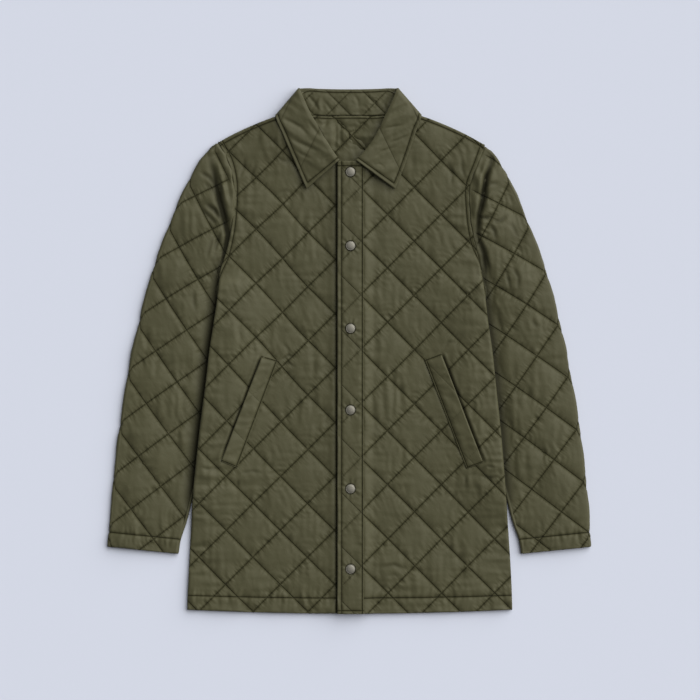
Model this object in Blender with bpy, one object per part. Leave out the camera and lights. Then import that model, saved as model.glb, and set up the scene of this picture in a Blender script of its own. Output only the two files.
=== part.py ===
"""A quilted snap-front jacket, laid flat on its back with its sleeves beside it and its front up.

Metres, +Z up. The jacket rests on z = 0, its hem towards -Y and its collar towards +Y, and the
origin is under the middle of it. The wearer's right side is at -X, because the front faces up.
Every layer of cloth is a wall of its real thickness on the layer below it.
"""

from collections import namedtuple
from math import cos, pi, sin

import bmesh
import bpy
import numpy as np
from mathutils import Matrix, Vector
from mathutils.bvhtree import BVHTree

# ---------------------------------------------------------------- driving dimensions
WALL = 0.0040  # quilted cloth: shell, wadding and lining, stitched through
COLLAR_WALL = 0.0033
PLACKET_WALL = 0.0025
WELT_WALL = 0.0025
GAP = 0.0003  # between two layers, and across a seam
RIGHT, LEFT = -1, 1  # the wearer's sides, as signs of x

FLAT_SLEEVE = 2 * WALL + GAP  # an empty sleeve, pressed flat
SLEEVE_PUFF = 0.0030  # how much more it rises where nothing lies on it
SLEEVE_REST = 0.010  # the body stays at the sleeve's height this far past its hidden fold
BODY_SLOPE = 0.022  # and comes down to the ground over this run
SIDE_ROUND = 0.005  # the side seam's edge is rounded over this width
SIDE_ROUND_DEPTH = 0.003
SLEEVE_FLAT_SHARE = 0.78  # share of the sleeve's width, from the outer fold in, that may puff

NECK_SHARE = 0.575  # share of the half width, from the side in, at which the neck point lies
FALL_LIFT = COLLAR_WALL + 2 * GAP  # how much the collar turned under it raises the back
FALL_LIFT_XS = (0.158, 0.123)  # from none to all of that rise, by distance from the middle
FALL_LIFT_YS = (0.296, 0.344)  # and by level
NECK_RISE = 0.0010  # the fronts stand a little off the back beside the neck
NECK_RISE_XS = (0.130, 0.100, 0.040, 0.025)  # it starts, is whole, and ends again
NECK_RISE_YS = (0.270, 0.300)

FRONT_EDGE_X = -0.0194  # the overlapping front's edge, which is the placket's
UNDERLAP_X = 0.0210  # the other front's edge, hidden under it
OVERLAP_XS = (0.0400, 0.0235)  # the overlapping front climbs onto the other between these
PLACKET_WIDTH = 0.0421
PLACKET_EDGE = 0.003  # width of its rounded-down edges
FRONT_NECK_Y = 0.3030
HEM_Y = -0.4140  # at the sides
HEM_DROP = 0.0063  # how much lower the hem is at the centre
HEM_DROP_START_Y = -0.350

SNAP_X = 0.0018
SNAP_YS = (0.2854, 0.1675, 0.0355, -0.0946, -0.2203, -0.3485)
SNAP_RADIUS = 0.0074
SNAP_HEIGHT = 0.0024

# The body's outline, a row for each level from the hem up. `right` and `left` are the distances
# of the wearer's right and left edges from x = 0. Above the underarm they are the armholes.
# `hump` is how much of the shoulders' rise the row of cloth takes on.
BodyRow = namedtuple("BodyRow", "y right left hump")
BODY = (
    BodyRow(HEM_Y, 0.2592, 0.2604, 0.0),
    BodyRow(-0.3910, 0.2585, 0.2598, 0.0),
    BodyRow(-0.3500, 0.2565, 0.2580, 0.0),
    BodyRow(-0.2900, 0.2532, 0.2542, 0.0),
    BodyRow(-0.2600, 0.2518, 0.2522, 0.0),
    BodyRow(-0.2300, 0.2498, 0.2499, 0.0),
    BodyRow(-0.1700, 0.2441, 0.2455, 0.0),
    BodyRow(-0.1100, 0.2373, 0.2400, 0.0),
    BodyRow(-0.0500, 0.2294, 0.2335, 0.0),
    BodyRow(0.0000, 0.2237, 0.2283, 0.0),
    BodyRow(0.0500, 0.2160, 0.2209, 0.0),
    BodyRow(0.0960, 0.2095, 0.2158, 0.0),
    BodyRow(0.1110, 0.2083, 0.2138, 0.0),
    BodyRow(0.1260, 0.2070, 0.2110, 0.0),
    BodyRow(0.1600, 0.1963, 0.2035, 0.05),
    BodyRow(0.1900, 0.1900, 0.1968, 0.20),
    BodyRow(0.2250, 0.1862, 0.1928, 0.45),
    BodyRow(0.2610, 0.1856, 0.1925, 0.75),
    BodyRow(0.2980, 0.1940, 0.2060, 1.0),
    BodyRow(0.3120, 0.2010, 0.2115, 1.0),
    BodyRow(0.3285, 0.2098, 0.2168, 1.0),
)
UNDERARM_Y = 0.1260
SHOULDER_TIP_Y = 0.3285

# The shoulder seam and the two necklines, from the shoulder's tip to the middle, at either side.
EdgePoint = namedtuple("EdgePoint", "x y")
SHOULDER = (
    EdgePoint(0.0880, 0.3870),
    EdgePoint(0.1060, 0.3725),
    EdgePoint(0.1260, 0.3705),
    EdgePoint(0.1630, 0.3565),
    EdgePoint(0.1900, 0.3435),
    EdgePoint(0.2168, 0.3285),
)
BACK_NECK = (
    EdgePoint(0.0, 0.3752),
    EdgePoint(0.0500, 0.3756),
    EdgePoint(0.0740, 0.3790),
    EdgePoint(0.0880, 0.3870),
)
FRONT_NECK = (
    EdgePoint(0.0210, FRONT_NECK_Y),
    EdgePoint(0.0235, 0.3034),
    EdgePoint(0.0400, 0.3130),
    EdgePoint(0.0500, 0.3215),
    EdgePoint(0.0680, 0.3430),
    EdgePoint(0.0800, 0.3640),
    EdgePoint(0.0880, 0.3870),
)

# Columns of a panel, as shares of the half width from the side edge to the neck point.
SIDE_SHARES = (0.0, 0.006, 0.022, 0.060, 0.110, 0.165, 0.225, 0.290, 0.400, 0.495, NECK_SHARE)
BACK_MIDDLE_XS = (-0.074, -0.050, 0.0, 0.050, 0.074)
FRONT_RIGHT_XS = (-0.080, -0.068, -0.050, -0.040, -0.0235, UNDERLAP_X)
FRONT_LEFT_XS = (0.080, 0.068, 0.050, 0.040, 0.0235, FRONT_EDGE_X)

# The sleeve, a row for each ring from the armhole to the cuff. `out_x` and `out_y` are the outer
# fold, `in_y` the level of the inner fold, and `tuck` how far that fold lies in under the body
# (less than nothing: outside it). `bend` is how much of the armhole's curve the ring keeps, and
# `puff` how much it rises, so that low ones are the folds beside the armhole and at the elbow.
Ring = namedtuple("Ring", "out_x out_y in_y tuck bend puff")
SLEEVE = (
    Ring(0.2133, 0.3285, 0.1260, -0.0010, 1.00, 0.0),
    Ring(0.2296, 0.3179, 0.1210, -0.0010, 0.92, 0.9),
    Ring(0.2464, 0.2923, 0.1110, -0.0010, 0.75, 0.3),
    Ring(0.2664, 0.2539, 0.1010, -0.0010, 0.50, 1.0),
    Ring(0.2880, 0.2027, 0.0960, -0.0010, 0.25, 0.8),
    Ring(0.3072, 0.1515, 0.0840, 0.0020, 0.08, 1.0),
    Ring(0.3232, 0.1003, 0.0600, 0.0100, 0.0, 1.0),
    Ring(0.3360, 0.0491, 0.0250, 0.0190, 0.0, 0.9),
    Ring(0.3480, -0.0021, -0.0220, 0.0260, 0.0, 0.6),
    Ring(0.3576, -0.0533, -0.0720, 0.0260, 0.0, 1.0),
    Ring(0.3656, -0.1045, -0.1220, 0.0190, 0.0, 0.8),
    Ring(0.3728, -0.1557, -0.1720, 0.0110, 0.0, 1.0),
    Ring(0.3784, -0.2069, -0.2220, 0.0020, 0.0, 0.9),
    Ring(0.3832, -0.2581, -0.2710, -0.0070, 0.0, 0.8),
    Ring(0.3856, -0.2890, -0.3010, -0.0152, 0.0, 0.5),
    Ring(0.3868, -0.3134, -0.3248, -0.0178, 0.0, 0.4),
)
TUCK_FULL_Y = 0.0960  # below this level the body's edge lies wholly on the sleeve
TUCK_END_YS = (-0.2900, -0.2300)  # and from here down it comes back to the ground

# The collar's turned-down part, a row for each line across it from its front end to the side
# fold: the point on the roll line, the point on the outer edge, and the underside's heights.
Leaf = namedtuple("Leaf", "roll_x roll_y edge_x edge_y roll_z edge_z")
LEAVES = {
    RIGHT: (
        Leaf(-0.0154, 0.3045, -0.0686, 0.2579, 0.0172, 0.0100),
        Leaf(-0.0250, 0.3175, -0.0790, 0.2815, 0.0170, 0.0102),
        Leaf(-0.0360, 0.3350, -0.0885, 0.3035, 0.0168, 0.0110),
        Leaf(-0.0480, 0.3570, -0.0985, 0.3265, 0.0166, 0.0124),
        Leaf(-0.0605, 0.3765, -0.1085, 0.3500, 0.0165, 0.0136),
        Leaf(-0.0750, 0.4080, -0.1158, 0.3660, 0.0165, 0.0140),
    ),
    LEFT: (
        Leaf(0.0100, 0.3038, 0.0730, 0.2579, 0.0180, 0.0102),
        Leaf(0.0240, 0.3185, 0.0830, 0.2815, 0.0174, 0.0104),
        Leaf(0.0370, 0.3360, 0.0910, 0.3035, 0.0170, 0.0110),
        Leaf(0.0480, 0.3560, 0.0990, 0.3265, 0.0166, 0.0124),
        Leaf(0.0573, 0.3765, 0.1065, 0.3500, 0.0165, 0.0136),
        Leaf(0.0718, 0.4080, 0.1130, 0.3665, 0.0165, 0.0140),
    ),
}
# The side folds, where the collar turns under: the ends of the fold's outermost line.
Fold = namedtuple("Fold", "roll_x roll_y edge_x edge_y")
FALL_FOLD = {
    RIGHT: Fold(-0.0808, 0.4202, -0.1195, 0.3749),
    LEFT: Fold(0.0775, 0.4202, 0.1162, 0.3758),
}
STAND_FOLD = {
    RIGHT: Fold(-0.0762, 0.4140, -0.0900, 0.3915),
    LEFT: Fold(0.0730, 0.4140, 0.0905, 0.3915),
}
ROLL_Y = 0.4202  # the collar's top edge behind the neck, at its ends
ROLL_DIP = 0.0022  # and how much lower it is in the middle
FALL_EDGE_Y = 0.3580  # the turned-down part's hidden edge behind the neck
FALL_EDGE_RISE = 0.0125  # how much higher it is at the side folds
FOLD_RUN = 0.0100  # how far inside a side fold the band behind the neck lies flat
STAND_SEAM_GAP = 0.0008
STAND_ROLL_IN = 0.0026  # the stand's upper edge lies this far inside the roll line
STAND_BACK_Z = FALL_LIFT + COLLAR_WALL / 2
STAND_FRONT_Z = {RIGHT: 0.0106, LEFT: 0.0116}
FOLD_TURNS = [pi * share for share in (0.5, 0.36, 0.2, 0.0, -0.2, -0.36, -0.5)]
FOLD_SQUARENESS = 0.55  # 1 is a round fold, and less is squarer

# The pocket welts, by corners: the top and foot of the open outer edge and of the sewn inner one.
Welt = namedtuple("Welt", "top_out foot_out top_in foot_in")
WELTS = {
    RIGHT: Welt((-0.1397, -0.0078), (-0.2050, -0.1768), (-0.1139, -0.0152), (-0.1792, -0.1878)),
    LEFT: Welt((0.1466, -0.0042), (0.2136, -0.1787), (0.1200, -0.0142), (0.1870, -0.1888)),
}


def clear_scene():
    for obj in list(bpy.data.objects):
        bpy.data.objects.remove(obj, do_unlink=True)


def material(name, colour, roughness, metallic=0.0):
    made = bpy.data.materials.new(name)
    made.use_nodes = True
    shader = made.node_tree.nodes["Principled BSDF"]
    shader.inputs["Base Color"].default_value = (*colour, 1.0)
    shader.inputs["Roughness"].default_value = roughness
    shader.inputs["Metallic"].default_value = metallic
    made.diffuse_color = (*colour, 1.0)
    return made


def olive(name, shade):
    """The same olive nylon, a shade apart for each piece, so that the pieces tell apart."""
    return material(name, (0.090 * shade, 0.085 * shade, 0.050 * shade), 0.6)


def place(name, bm, finish):
    """A mesh object from a bmesh whose faces are turned outwards."""
    bmesh.ops.recalc_face_normals(bm, faces=bm.faces)
    mesh = bpy.data.meshes.new(name)
    bm.to_mesh(mesh)
    bm.free()
    mesh.materials.append(finish)
    mesh.shade_smooth()
    mesh.set_sharp_from_angle(angle=pi / 4)
    obj = bpy.data.objects.new(name, mesh)
    bpy.context.scene.collection.objects.link(obj)
    return obj


def ramp(value, start, end):
    """0 before start, 1 past end, straight between them; end may be below start."""
    return float(np.clip((value - start) / (end - start), 0.0, 1.0))


def read(table, column, at, key="y"):
    """A column of a table at a value of its key column, straight between rows."""
    rows = sorted(table, key=lambda row: getattr(row, key))
    keys = [getattr(row, key) for row in rows]
    return float(np.interp(at, keys, [getattr(row, column) for row in rows]))


def side_x(side, y):
    return side * read(BODY, "right" if side == RIGHT else "left", y)


# ---------------------------------------------------------------- how high each layer lies
def sleeve_lift(x, y):
    """How far the back is raised by the sleeve folded under its edge."""
    side = RIGHT if x < 0 else LEFT
    inward = abs(side_x(side, y)) - abs(x)
    tuck = max(read(SLEEVE, "tuck", y, "in_y"), 0.0)
    along = ramp(y, UNDERARM_Y, TUCK_FULL_Y) * ramp(y, *TUCK_END_YS)
    across = ramp(inward, tuck + SLEEVE_REST + BODY_SLOPE, tuck + SLEEVE_REST)
    return (FLAT_SLEEVE + GAP) * along * across


def fall_lift(x, y):
    """How far the back is raised by the collar turned under it."""
    return FALL_LIFT * ramp(abs(x), *FALL_LIFT_XS) * ramp(y, *FALL_LIFT_YS)


def back_z(x, y):
    return sleeve_lift(x, y) + fall_lift(x, y)


def front_right_z(x, y):
    start, whole, whole_end, end = NECK_RISE_XS
    beside_neck = ramp(abs(x), start, whole) * ramp(abs(x), end, whole_end)
    return back_z(x, y) + WALL + GAP + NECK_RISE * beside_neck * ramp(y, *NECK_RISE_YS)


def front_left_z(x, y):
    return front_right_z(x, y) + (WALL + GAP) * ramp(x, *OVERLAP_XS)


def side_round(x, y):
    """How much the edge is rounded off at the side seam."""
    side = RIGHT if x < 0 else LEFT
    inward = max(abs(side_x(side, y)) - abs(x), 0.0)
    if inward >= SIDE_ROUND or y > UNDERARM_Y:
        return 0.0
    reach = 1.0 - inward / SIDE_ROUND
    return SIDE_ROUND_DEPTH * (1.0 - (1.0 - reach**2) ** 0.5)


# ---------------------------------------------------------------- the body's panels
def top_line(x, neck):
    """The panel's upper edge: the shoulder seam outside the neck point, the neckline inside."""
    edge = neck if abs(x) < SHOULDER[0].x else SHOULDER
    return read(edge, "y", abs(x), "x")


def row_point(row, x, top_x, neck):
    """A point of a row of cloth: rows curve with the shoulders above and with the hem below."""
    rise = top_line(top_x, neck) - SHOULDER_TIP_Y
    half = (row.right + row.left) / 2
    drop = HEM_DROP * (1.0 - min(abs(x) / half, 1.0) ** 2) * ramp(row.y, HEM_DROP_START_Y, HEM_Y)
    return x, row.y + row.hump * rise - drop


def side_columns(side, neck):
    """Functions of a row that give the columns from the side edge to the neck point."""
    tip = side_x(side, SHOULDER_TIP_Y)

    def column(share):
        top_x = tip * (1 - share)
        return lambda row: row_point(row, side_x(side, row.y) * (1 - share), top_x, neck)

    return [column(share) for share in SIDE_SHARES]


def inner_columns(xs, neck):
    return [lambda row, x=x: row_point(row, x, x, neck) for x in xs]


def panel(name, columns, low_z, finish, round_top):
    """A quilted panel: a wall on the height that low_z gives, its side edges rounded."""
    plan = [[column(row) for column in columns] for row in BODY]
    low = []
    high = []
    for points in plan:
        under = 0.0 if round_top else 1.0
        low.append([(x, y, low_z(x, y) + under * side_round(x, y)) for x, y in points])
        high.append(
            [(x, y, low_z(x, y) + WALL - (1 - under) * side_round(x, y)) for x, y in points]
        )
    return slab(name, low, high, finish)


def split_quad(bm, a, b, c, d):
    """Two triangles, split the same way on every layer, so that stacked layers stay apart."""
    if abs(a.co.x) > abs(b.co.x):
        bm.faces.new((a, b, c))
        bm.faces.new((a, c, d))
    else:
        bm.faces.new((a, b, d))
        bm.faces.new((b, c, d))


def slab(name, low, high, finish):
    """A closed wall between two grids of points of the same rows and columns."""
    bm = bmesh.new()
    grids = [[[bm.verts.new(point) for point in row] for row in grid] for grid in (low, high)]
    rows = len(low)
    columns = len(low[0])
    for grid in grids:
        for i in range(rows - 1):
            for j in range(columns - 1):
                split_quad(bm, grid[i][j], grid[i][j + 1], grid[i + 1][j + 1], grid[i + 1][j])
    rim = [(0, j) for j in range(columns)]
    rim += [(i, columns - 1) for i in range(1, rows)]
    rim += [(rows - 1, j) for j in range(columns - 2, -1, -1)]
    rim += [(i, 0) for i in range(rows - 2, 0, -1)]
    for (i, j), (k, m) in zip(rim, rim[1:] + rim[:1]):
        bm.faces.new((grids[0][i][j], grids[0][k][m], grids[1][k][m], grids[1][i][j]))
    return place(name, bm, finish)


def build_back():
    left = side_columns(LEFT, BACK_NECK)
    columns = side_columns(RIGHT, BACK_NECK) + inner_columns(BACK_MIDDLE_XS, BACK_NECK)
    return panel("back", columns + left[::-1], back_z, olive("back_nylon", 0.9), False)


def build_front_right():
    columns = side_columns(RIGHT, FRONT_NECK) + inner_columns(FRONT_RIGHT_XS, FRONT_NECK)
    return panel("front_right", columns, front_right_z, olive("front_right_nylon", 1.0), True)


def build_front_left():
    columns = side_columns(LEFT, FRONT_NECK) + inner_columns(FRONT_LEFT_XS, FRONT_NECK)
    return panel("front_left", columns, front_left_z, olive("front_left_nylon", 1.05), True)


# ---------------------------------------------------------------- sleeves
ARMHOLE_YS = [row.y for row in BODY if row.y >= UNDERARM_Y][::-1]


def armhole_shape(side):
    """Shares along the armhole from its top to the underarm, and its offsets from the chord."""
    points = np.array([(side_x(side, y), y) for y in ARMHOLE_YS])
    steps = np.linalg.norm(np.diff(points, axis=0), axis=1)
    shares = np.concatenate([[0.0], np.cumsum(steps)]) / steps.sum()
    chord = points[0] + shares[:, None] * (points[-1] - points[0])
    return shares, points - chord


def ring_line(side, ring, shares, bow):
    """The ring's line on the ground, from the outer fold to the inner one."""
    inner_x = side_x(side, ring.in_y) - side * ring.tuck
    start = np.array((side * ring.out_x, ring.out_y))
    if ring.bend == 1.0:
        start = np.array((side_x(side, SHOULDER_TIP_Y) + side * 0.001, SHOULDER_TIP_Y))
    end = np.array((inner_x, ring.in_y))
    return start + shares[:, None] * (end - start) + ring.bend * bow


def ring_loops(line, shares, ring):
    """The wall's outer and inner loops round a ring: over the top, and back underneath."""
    flat_from = SLEEVE_FLAT_SHARE if ring.bend == 0.0 else 1.0
    bulge = np.where(shares < flat_from, np.sin(pi * shares / flat_from) ** 2, 0.0)
    heights = FLAT_SLEEVE + SLEEVE_PUFF * ring.puff * bulge
    loops = []
    for inset in (0.0, WALL):
        radius = FLAT_SLEEVE / 2 - inset
        ends = []
        for edge, beside in ((0, 1), (-1, -2)):
            along = line[beside] - line[edge]
            ends.append(line[edge] + (FLAT_SLEEVE / 2) * along / np.linalg.norm(along))
        over = np.vstack([ends[0], line[1:-1], ends[1]])
        top = [(x, y, h - inset) for (x, y), h in zip(over, heights)]
        under = [(x, y, inset) for x, y in over[::-1]]
        caps = []
        for edge, beside, turns in ((-1, -2, (pi / 4, 0, -pi / 4)), (0, 1, (-pi / 4, 0, pi / 4))):
            along = line[edge] - line[beside]
            along = along / np.linalg.norm(along)
            middle = ends[edge]
            caps.append(
                [
                    (*(middle + along * radius * cos(a)), FLAT_SLEEVE / 2 + radius * sin(a))
                    for a in turns
                ]
            )
        loops.append(top + caps[0] + under + caps[1])
    return loops


def build_sleeve(side, name, finish):
    """A flattened tube, open at the armhole and at the cuff."""
    shares, bow = armhole_shape(side)
    bm = bmesh.new()
    rings = []
    for ring in SLEEVE:
        loops = ring_loops(ring_line(side, ring, shares, bow), shares, ring)
        rings.append([[bm.verts.new(point) for point in loop] for loop in loops])
    count = len(rings[0][0])
    for here, after in zip(rings, rings[1:]):
        for wall in (0, 1):
            for i in range(count):
                j = (i + 1) % count
                bm.faces.new((here[wall][i], here[wall][j], after[wall][j], after[wall][i]))
    for end in (rings[0], rings[-1]):
        for i in range(count):
            j = (i + 1) % count
            bm.faces.new((end[0][i], end[0][j], end[1][j], end[1][i]))
    return place(name, bm, finish)


# ---------------------------------------------------------------- collar
def point(x, y, z):
    return np.array((x, y, z))


def squared(share):
    return np.sign(share) * abs(share) ** FOLD_SQUARENESS


def fold_lines(front, fold, back, wall):
    """Lines across a band as it turns round its side fold, from its front layer to its back one.

    front and back are lines where the layers lie flat: a point on the roll and one on the edge.
    """
    run = point(fold.edge_x - fold.roll_x, fold.edge_y - fold.roll_y, 0.0)
    outward = np.cross(run, (0, 0, 1)) / np.linalg.norm(run)
    outward *= np.sign(outward[0] * fold.edge_x) * wall / 2
    lines = []
    for turn in FOLD_TURNS:
        line = []
        for high, side, low in zip(front, (fold[:2], fold[2:]), back):
            flat = high if turn > 0 else low
            outermost = point(*side, 0.0) - outward
            spot = flat + (outermost - flat) * squared(cos(turn))
            spot[2] = (high[2] + low[2]) / 2 + (high[2] - low[2]) / 2 * squared(sin(turn))
            line.append(spot)
        lines.append(line)
    return lines


def band(name, lines, wall, across, finish):
    """A wall about a ruled surface through lines, each a pair of points."""
    ends = np.array(lines)
    shares = np.linspace(0.0, 1.0, across)[None, :, None]
    middle = ends[:, :1] * (1 - shares) + ends[:, 1:] * shares
    normal = np.cross(np.gradient(middle, axis=0), np.gradient(middle, axis=1))
    normal /= np.linalg.norm(normal, axis=2, keepdims=True)
    low = middle - normal * wall / 2
    high = middle + normal * wall / 2
    return slab(name, low.tolist(), high.tolist(), finish)


def fall_edge_y(x):
    return FALL_EDGE_Y + FALL_EDGE_RISE * (x / FALL_FOLD[LEFT].edge_x) ** 2


def roll_y(x):
    return ROLL_Y - ROLL_DIP * (1.0 - min(abs(x) / FALL_FOLD[LEFT].roll_x, 1.0) ** 2)


def half_fall(side):
    """Lines from the leaf's front end, round the side fold, to beside the middle of the back."""
    half = COLLAR_WALL / 2
    front = [
        [point(leaf.roll_x, leaf.roll_y, leaf.roll_z + half)]
        + [point(leaf.edge_x, leaf.edge_y, leaf.edge_z + half)]
        for leaf in LEAVES[side]
    ]
    fold = FALL_FOLD[side]
    start_x = fold.roll_x - side * FOLD_RUN
    start_edge_x = fold.edge_x - side * FOLD_RUN
    back = []
    for share in (1.0, 0.7, 0.35):
        x = start_x * share
        edge_x = start_edge_x * share
        back.append([point(x, roll_y(x), half), point(edge_x, fall_edge_y(edge_x), half)])
    turned = fold_lines(front[-1], fold, back[0], COLLAR_WALL)
    return front[:-1] + turned + back[1:]


def build_collar_fall():
    """The turned-down part: a leaf on each front, folded at the sides to go behind the neck."""
    half = COLLAR_WALL / 2
    middle = [[point(0.0, roll_y(0.0), half), point(0.0, FALL_EDGE_Y, half)]]
    lines = half_fall(RIGHT) + middle + half_fall(LEFT)[::-1]
    return band("collar_fall", lines, COLLAR_WALL, 5, olive("collar_nylon", 1.1))


def half_stand(side):
    """Lines from the front end of the stand, round its side fold, to beside the middle."""
    front_z = STAND_FRONT_Z[side]
    front = []
    for leaf, neck in zip(LEAVES[side], FRONT_NECK[1:]):
        roll_x = leaf.roll_x - side * 0.8 * STAND_ROLL_IN
        seam_x = side * (neck.x - 2 * STAND_SEAM_GAP)
        roll = point(roll_x, leaf.roll_y + 0.6 * STAND_ROLL_IN, front_z)
        front.append([roll, point(seam_x, neck.y + STAND_SEAM_GAP, front_z)])
    fold = STAND_FOLD[side]
    start_x = fold.roll_x - side * FOLD_RUN
    back = []
    for x, neck in zip((start_x, start_x * 0.6), BACK_NECK[:0:-1][1:]):
        roll = point(x, roll_y(x) - STAND_ROLL_IN, STAND_BACK_Z)
        back.append([roll, point(side * neck.x, neck.y + STAND_SEAM_GAP, STAND_BACK_Z)])
    turned = fold_lines(front[-1], fold, back[0], COLLAR_WALL)
    return front[:-1] + turned + back[1:]


def build_collar_stand():
    """The band that stands in the neck seam: flat behind the neck, turned in at the front."""
    roll = point(0.0, roll_y(0.0) - STAND_ROLL_IN, STAND_BACK_Z)
    seam = point(0.0, BACK_NECK[0].y + STAND_SEAM_GAP, STAND_BACK_Z)
    lines = half_stand(RIGHT) + [[roll, seam]] + half_stand(LEFT)[::-1]
    return band("collar_stand", lines, COLLAR_WALL, 4, olive("collar_stand_nylon", 0.95))


# ---------------------------------------------------------------- what is sewn on the fronts
def top_of(obj):
    """A function that gives the height of an object's upper surface."""
    tree = BVHTree.FromObject(obj, bpy.context.evaluated_depsgraph_get())

    def height(x, y):
        hit = tree.ray_cast(Vector((x, y, 1.0)), Vector((0, 0, -1)))[0]
        return hit.z

    return height


def build_placket():
    """The snap band on the overlapping front's edge, from the neckline to the hem."""
    left = FRONT_EDGE_X
    right = FRONT_EDGE_X + PLACKET_WIDTH
    xs = (left, left + PLACKET_EDGE, right - PLACKET_EDGE, right)
    low = []
    for row in BODY:
        points = [row_point(row, x, x, FRONT_NECK) for x in xs]
        low.append([(x, y, front_left_z(x, y) + WALL + GAP) for x, y in points])
    high = []
    for row in low:
        rise = (0.7 * PLACKET_WALL, PLACKET_WALL, PLACKET_WALL, 0.7 * PLACKET_WALL)
        high.append([(x, y, z + r) for (x, y, z), r in zip(row, rise)])
    return slab("placket", low, high, olive("placket_nylon", 1.15))


def build_welt(side, name, front):
    """A slanted pocket welt, laid on its front and a little raised along its open edge."""
    welt = WELTS[side]
    height = top_of(front)
    low = []
    high = []
    for along in np.linspace(0.0, 1.0, 9):
        outer = np.array(welt.top_out) * (1 - along) + np.array(welt.foot_out) * along
        inner = np.array(welt.top_in) * (1 - along) + np.array(welt.foot_in) * along
        low_row = []
        high_row = []
        for across, rise in ((0.0, 0.8), (0.12, 1.0), (0.5, 1.0), (0.88, 0.9), (1.0, 0.6)):
            x, y = outer * (1 - across) + inner * across
            z = height(x, y) + GAP
            low_row.append((x, y, z))
            high_row.append((x, y, z + WELT_WALL * rise))
        low.append(low_row)
        high.append(high_row)
    return slab(name, low, high, olive(name + "_nylon", 1.1))


def build_snaps(placket):
    """Six snap caps on the placket: a low dome inside a rolled rim."""
    metal = material("antique_nickel", (0.22, 0.21, 0.17), 0.35, 1.0)
    height = top_of(placket)
    profile = [(0.0, 0.0), (0.88, 0.0), (1.0, 0.20), (1.0, 0.45), (0.93, 0.60)]
    profile += [(0.80, 0.62), (0.55, 0.86), (0.28, 0.97), (0.0, 1.0)]
    bm = bmesh.new()
    verts = [bm.verts.new((r * SNAP_RADIUS, 0.0, h * SNAP_HEIGHT)) for r, h in profile]
    edges = [bm.edges.new(pair) for pair in zip(verts, verts[1:])]
    turned = {"cent": (0, 0, 0), "axis": (0, 0, 1), "angle": 2 * pi, "steps": 20}
    bmesh.ops.spin(bm, geom=verts + edges, use_merge=True, use_duplicate=False, **turned)
    bmesh.ops.remove_doubles(bm, verts=bm.verts, dist=1e-6)
    first = place("snap_1", bm, metal)
    for number, y in enumerate(SNAP_YS, start=1):
        snap = first
        if number > 1:
            snap = bpy.data.objects.new(f"snap_{number}", first.data)
            bpy.context.scene.collection.objects.link(snap)
        snap.matrix_world = Matrix.Translation((SNAP_X, y, height(SNAP_X, y) + GAP))


def build_jacket():
    clear_scene()
    build_back()
    front_right = build_front_right()
    front_left = build_front_left()
    build_sleeve(RIGHT, "sleeve_right", olive("sleeve_right_nylon", 0.95))
    build_sleeve(LEFT, "sleeve_left", olive("sleeve_left_nylon", 0.97))
    build_collar_stand()
    build_collar_fall()
    placket = build_placket()
    build_welt(RIGHT, "welt_right", front_right)
    build_welt(LEFT, "welt_left", front_left)
    bpy.context.view_layer.update()
    build_snaps(placket)


build_jacket()
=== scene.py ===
from math import pi, radians

import bmesh
import bpy
import numpy as np
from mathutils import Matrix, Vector
from mathutils.bvhtree import BVHTree


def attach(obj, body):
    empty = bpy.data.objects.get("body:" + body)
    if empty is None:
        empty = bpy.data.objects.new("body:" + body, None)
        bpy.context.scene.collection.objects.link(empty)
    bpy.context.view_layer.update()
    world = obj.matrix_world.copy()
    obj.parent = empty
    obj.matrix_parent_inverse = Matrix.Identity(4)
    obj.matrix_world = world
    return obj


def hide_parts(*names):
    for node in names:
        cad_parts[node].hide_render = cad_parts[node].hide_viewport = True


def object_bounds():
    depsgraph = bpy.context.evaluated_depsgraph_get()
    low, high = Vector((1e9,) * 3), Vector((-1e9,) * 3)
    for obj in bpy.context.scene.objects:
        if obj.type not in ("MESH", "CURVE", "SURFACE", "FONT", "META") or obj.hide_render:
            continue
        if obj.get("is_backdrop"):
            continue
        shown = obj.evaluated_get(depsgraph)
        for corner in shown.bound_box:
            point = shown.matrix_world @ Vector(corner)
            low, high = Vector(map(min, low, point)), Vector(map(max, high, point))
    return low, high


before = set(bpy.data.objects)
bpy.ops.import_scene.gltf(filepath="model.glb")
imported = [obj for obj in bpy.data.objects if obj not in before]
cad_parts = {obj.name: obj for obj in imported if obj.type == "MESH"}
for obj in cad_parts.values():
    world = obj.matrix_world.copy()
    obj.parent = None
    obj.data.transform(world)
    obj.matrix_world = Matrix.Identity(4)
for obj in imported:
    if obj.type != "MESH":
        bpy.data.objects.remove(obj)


def bounds_now():
    bpy.context.view_layer.update()
    low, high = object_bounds()
    return [[round(float(v), 6) for v in low], [round(float(v), 6) for v in high]]


cad_bounds = bounds_now()

# ---------------------------------------------------------------- the quilted back
# One panel of light nylon shell, thin wadding and lining, stitched through in 45-degree diamonds.
# It rests flat on the ground and climbs onto the sleeves at its sides; inside the neck it shows.
WALL = 0.0040
GAP = 0.0003  # the air left between layers that lie on each other
RIGHT, LEFT = -1, 1
FLAT_SLEEVE = 2 * WALL + GAP  # an empty sleeve, pressed flat
COLLAR_WALL = 0.0033
FALL_LIFT = COLLAR_WALL + 2 * GAP  # how much the collar turned under it raises the back
HEM_Y, HEM_DROP, HEM_DROP_START_Y = -0.4140, 0.0063, -0.350
UNDERARM_Y, TIP_Y = 0.1260, 0.3285
HEM_STITCH = 0.0230  # the hem's line of stitching, above its edge
PITCH = 0.0614  # across a diamond, from one line of stitching to the next
# A lattice: where two lines of stitching cross, how far off the next crossing is to the side and
# upwards, and the seed of its small waves.
BACK_LATTICE = ((0.0045, 0.3435), (0.0433, 0.0433), 11)

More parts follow.
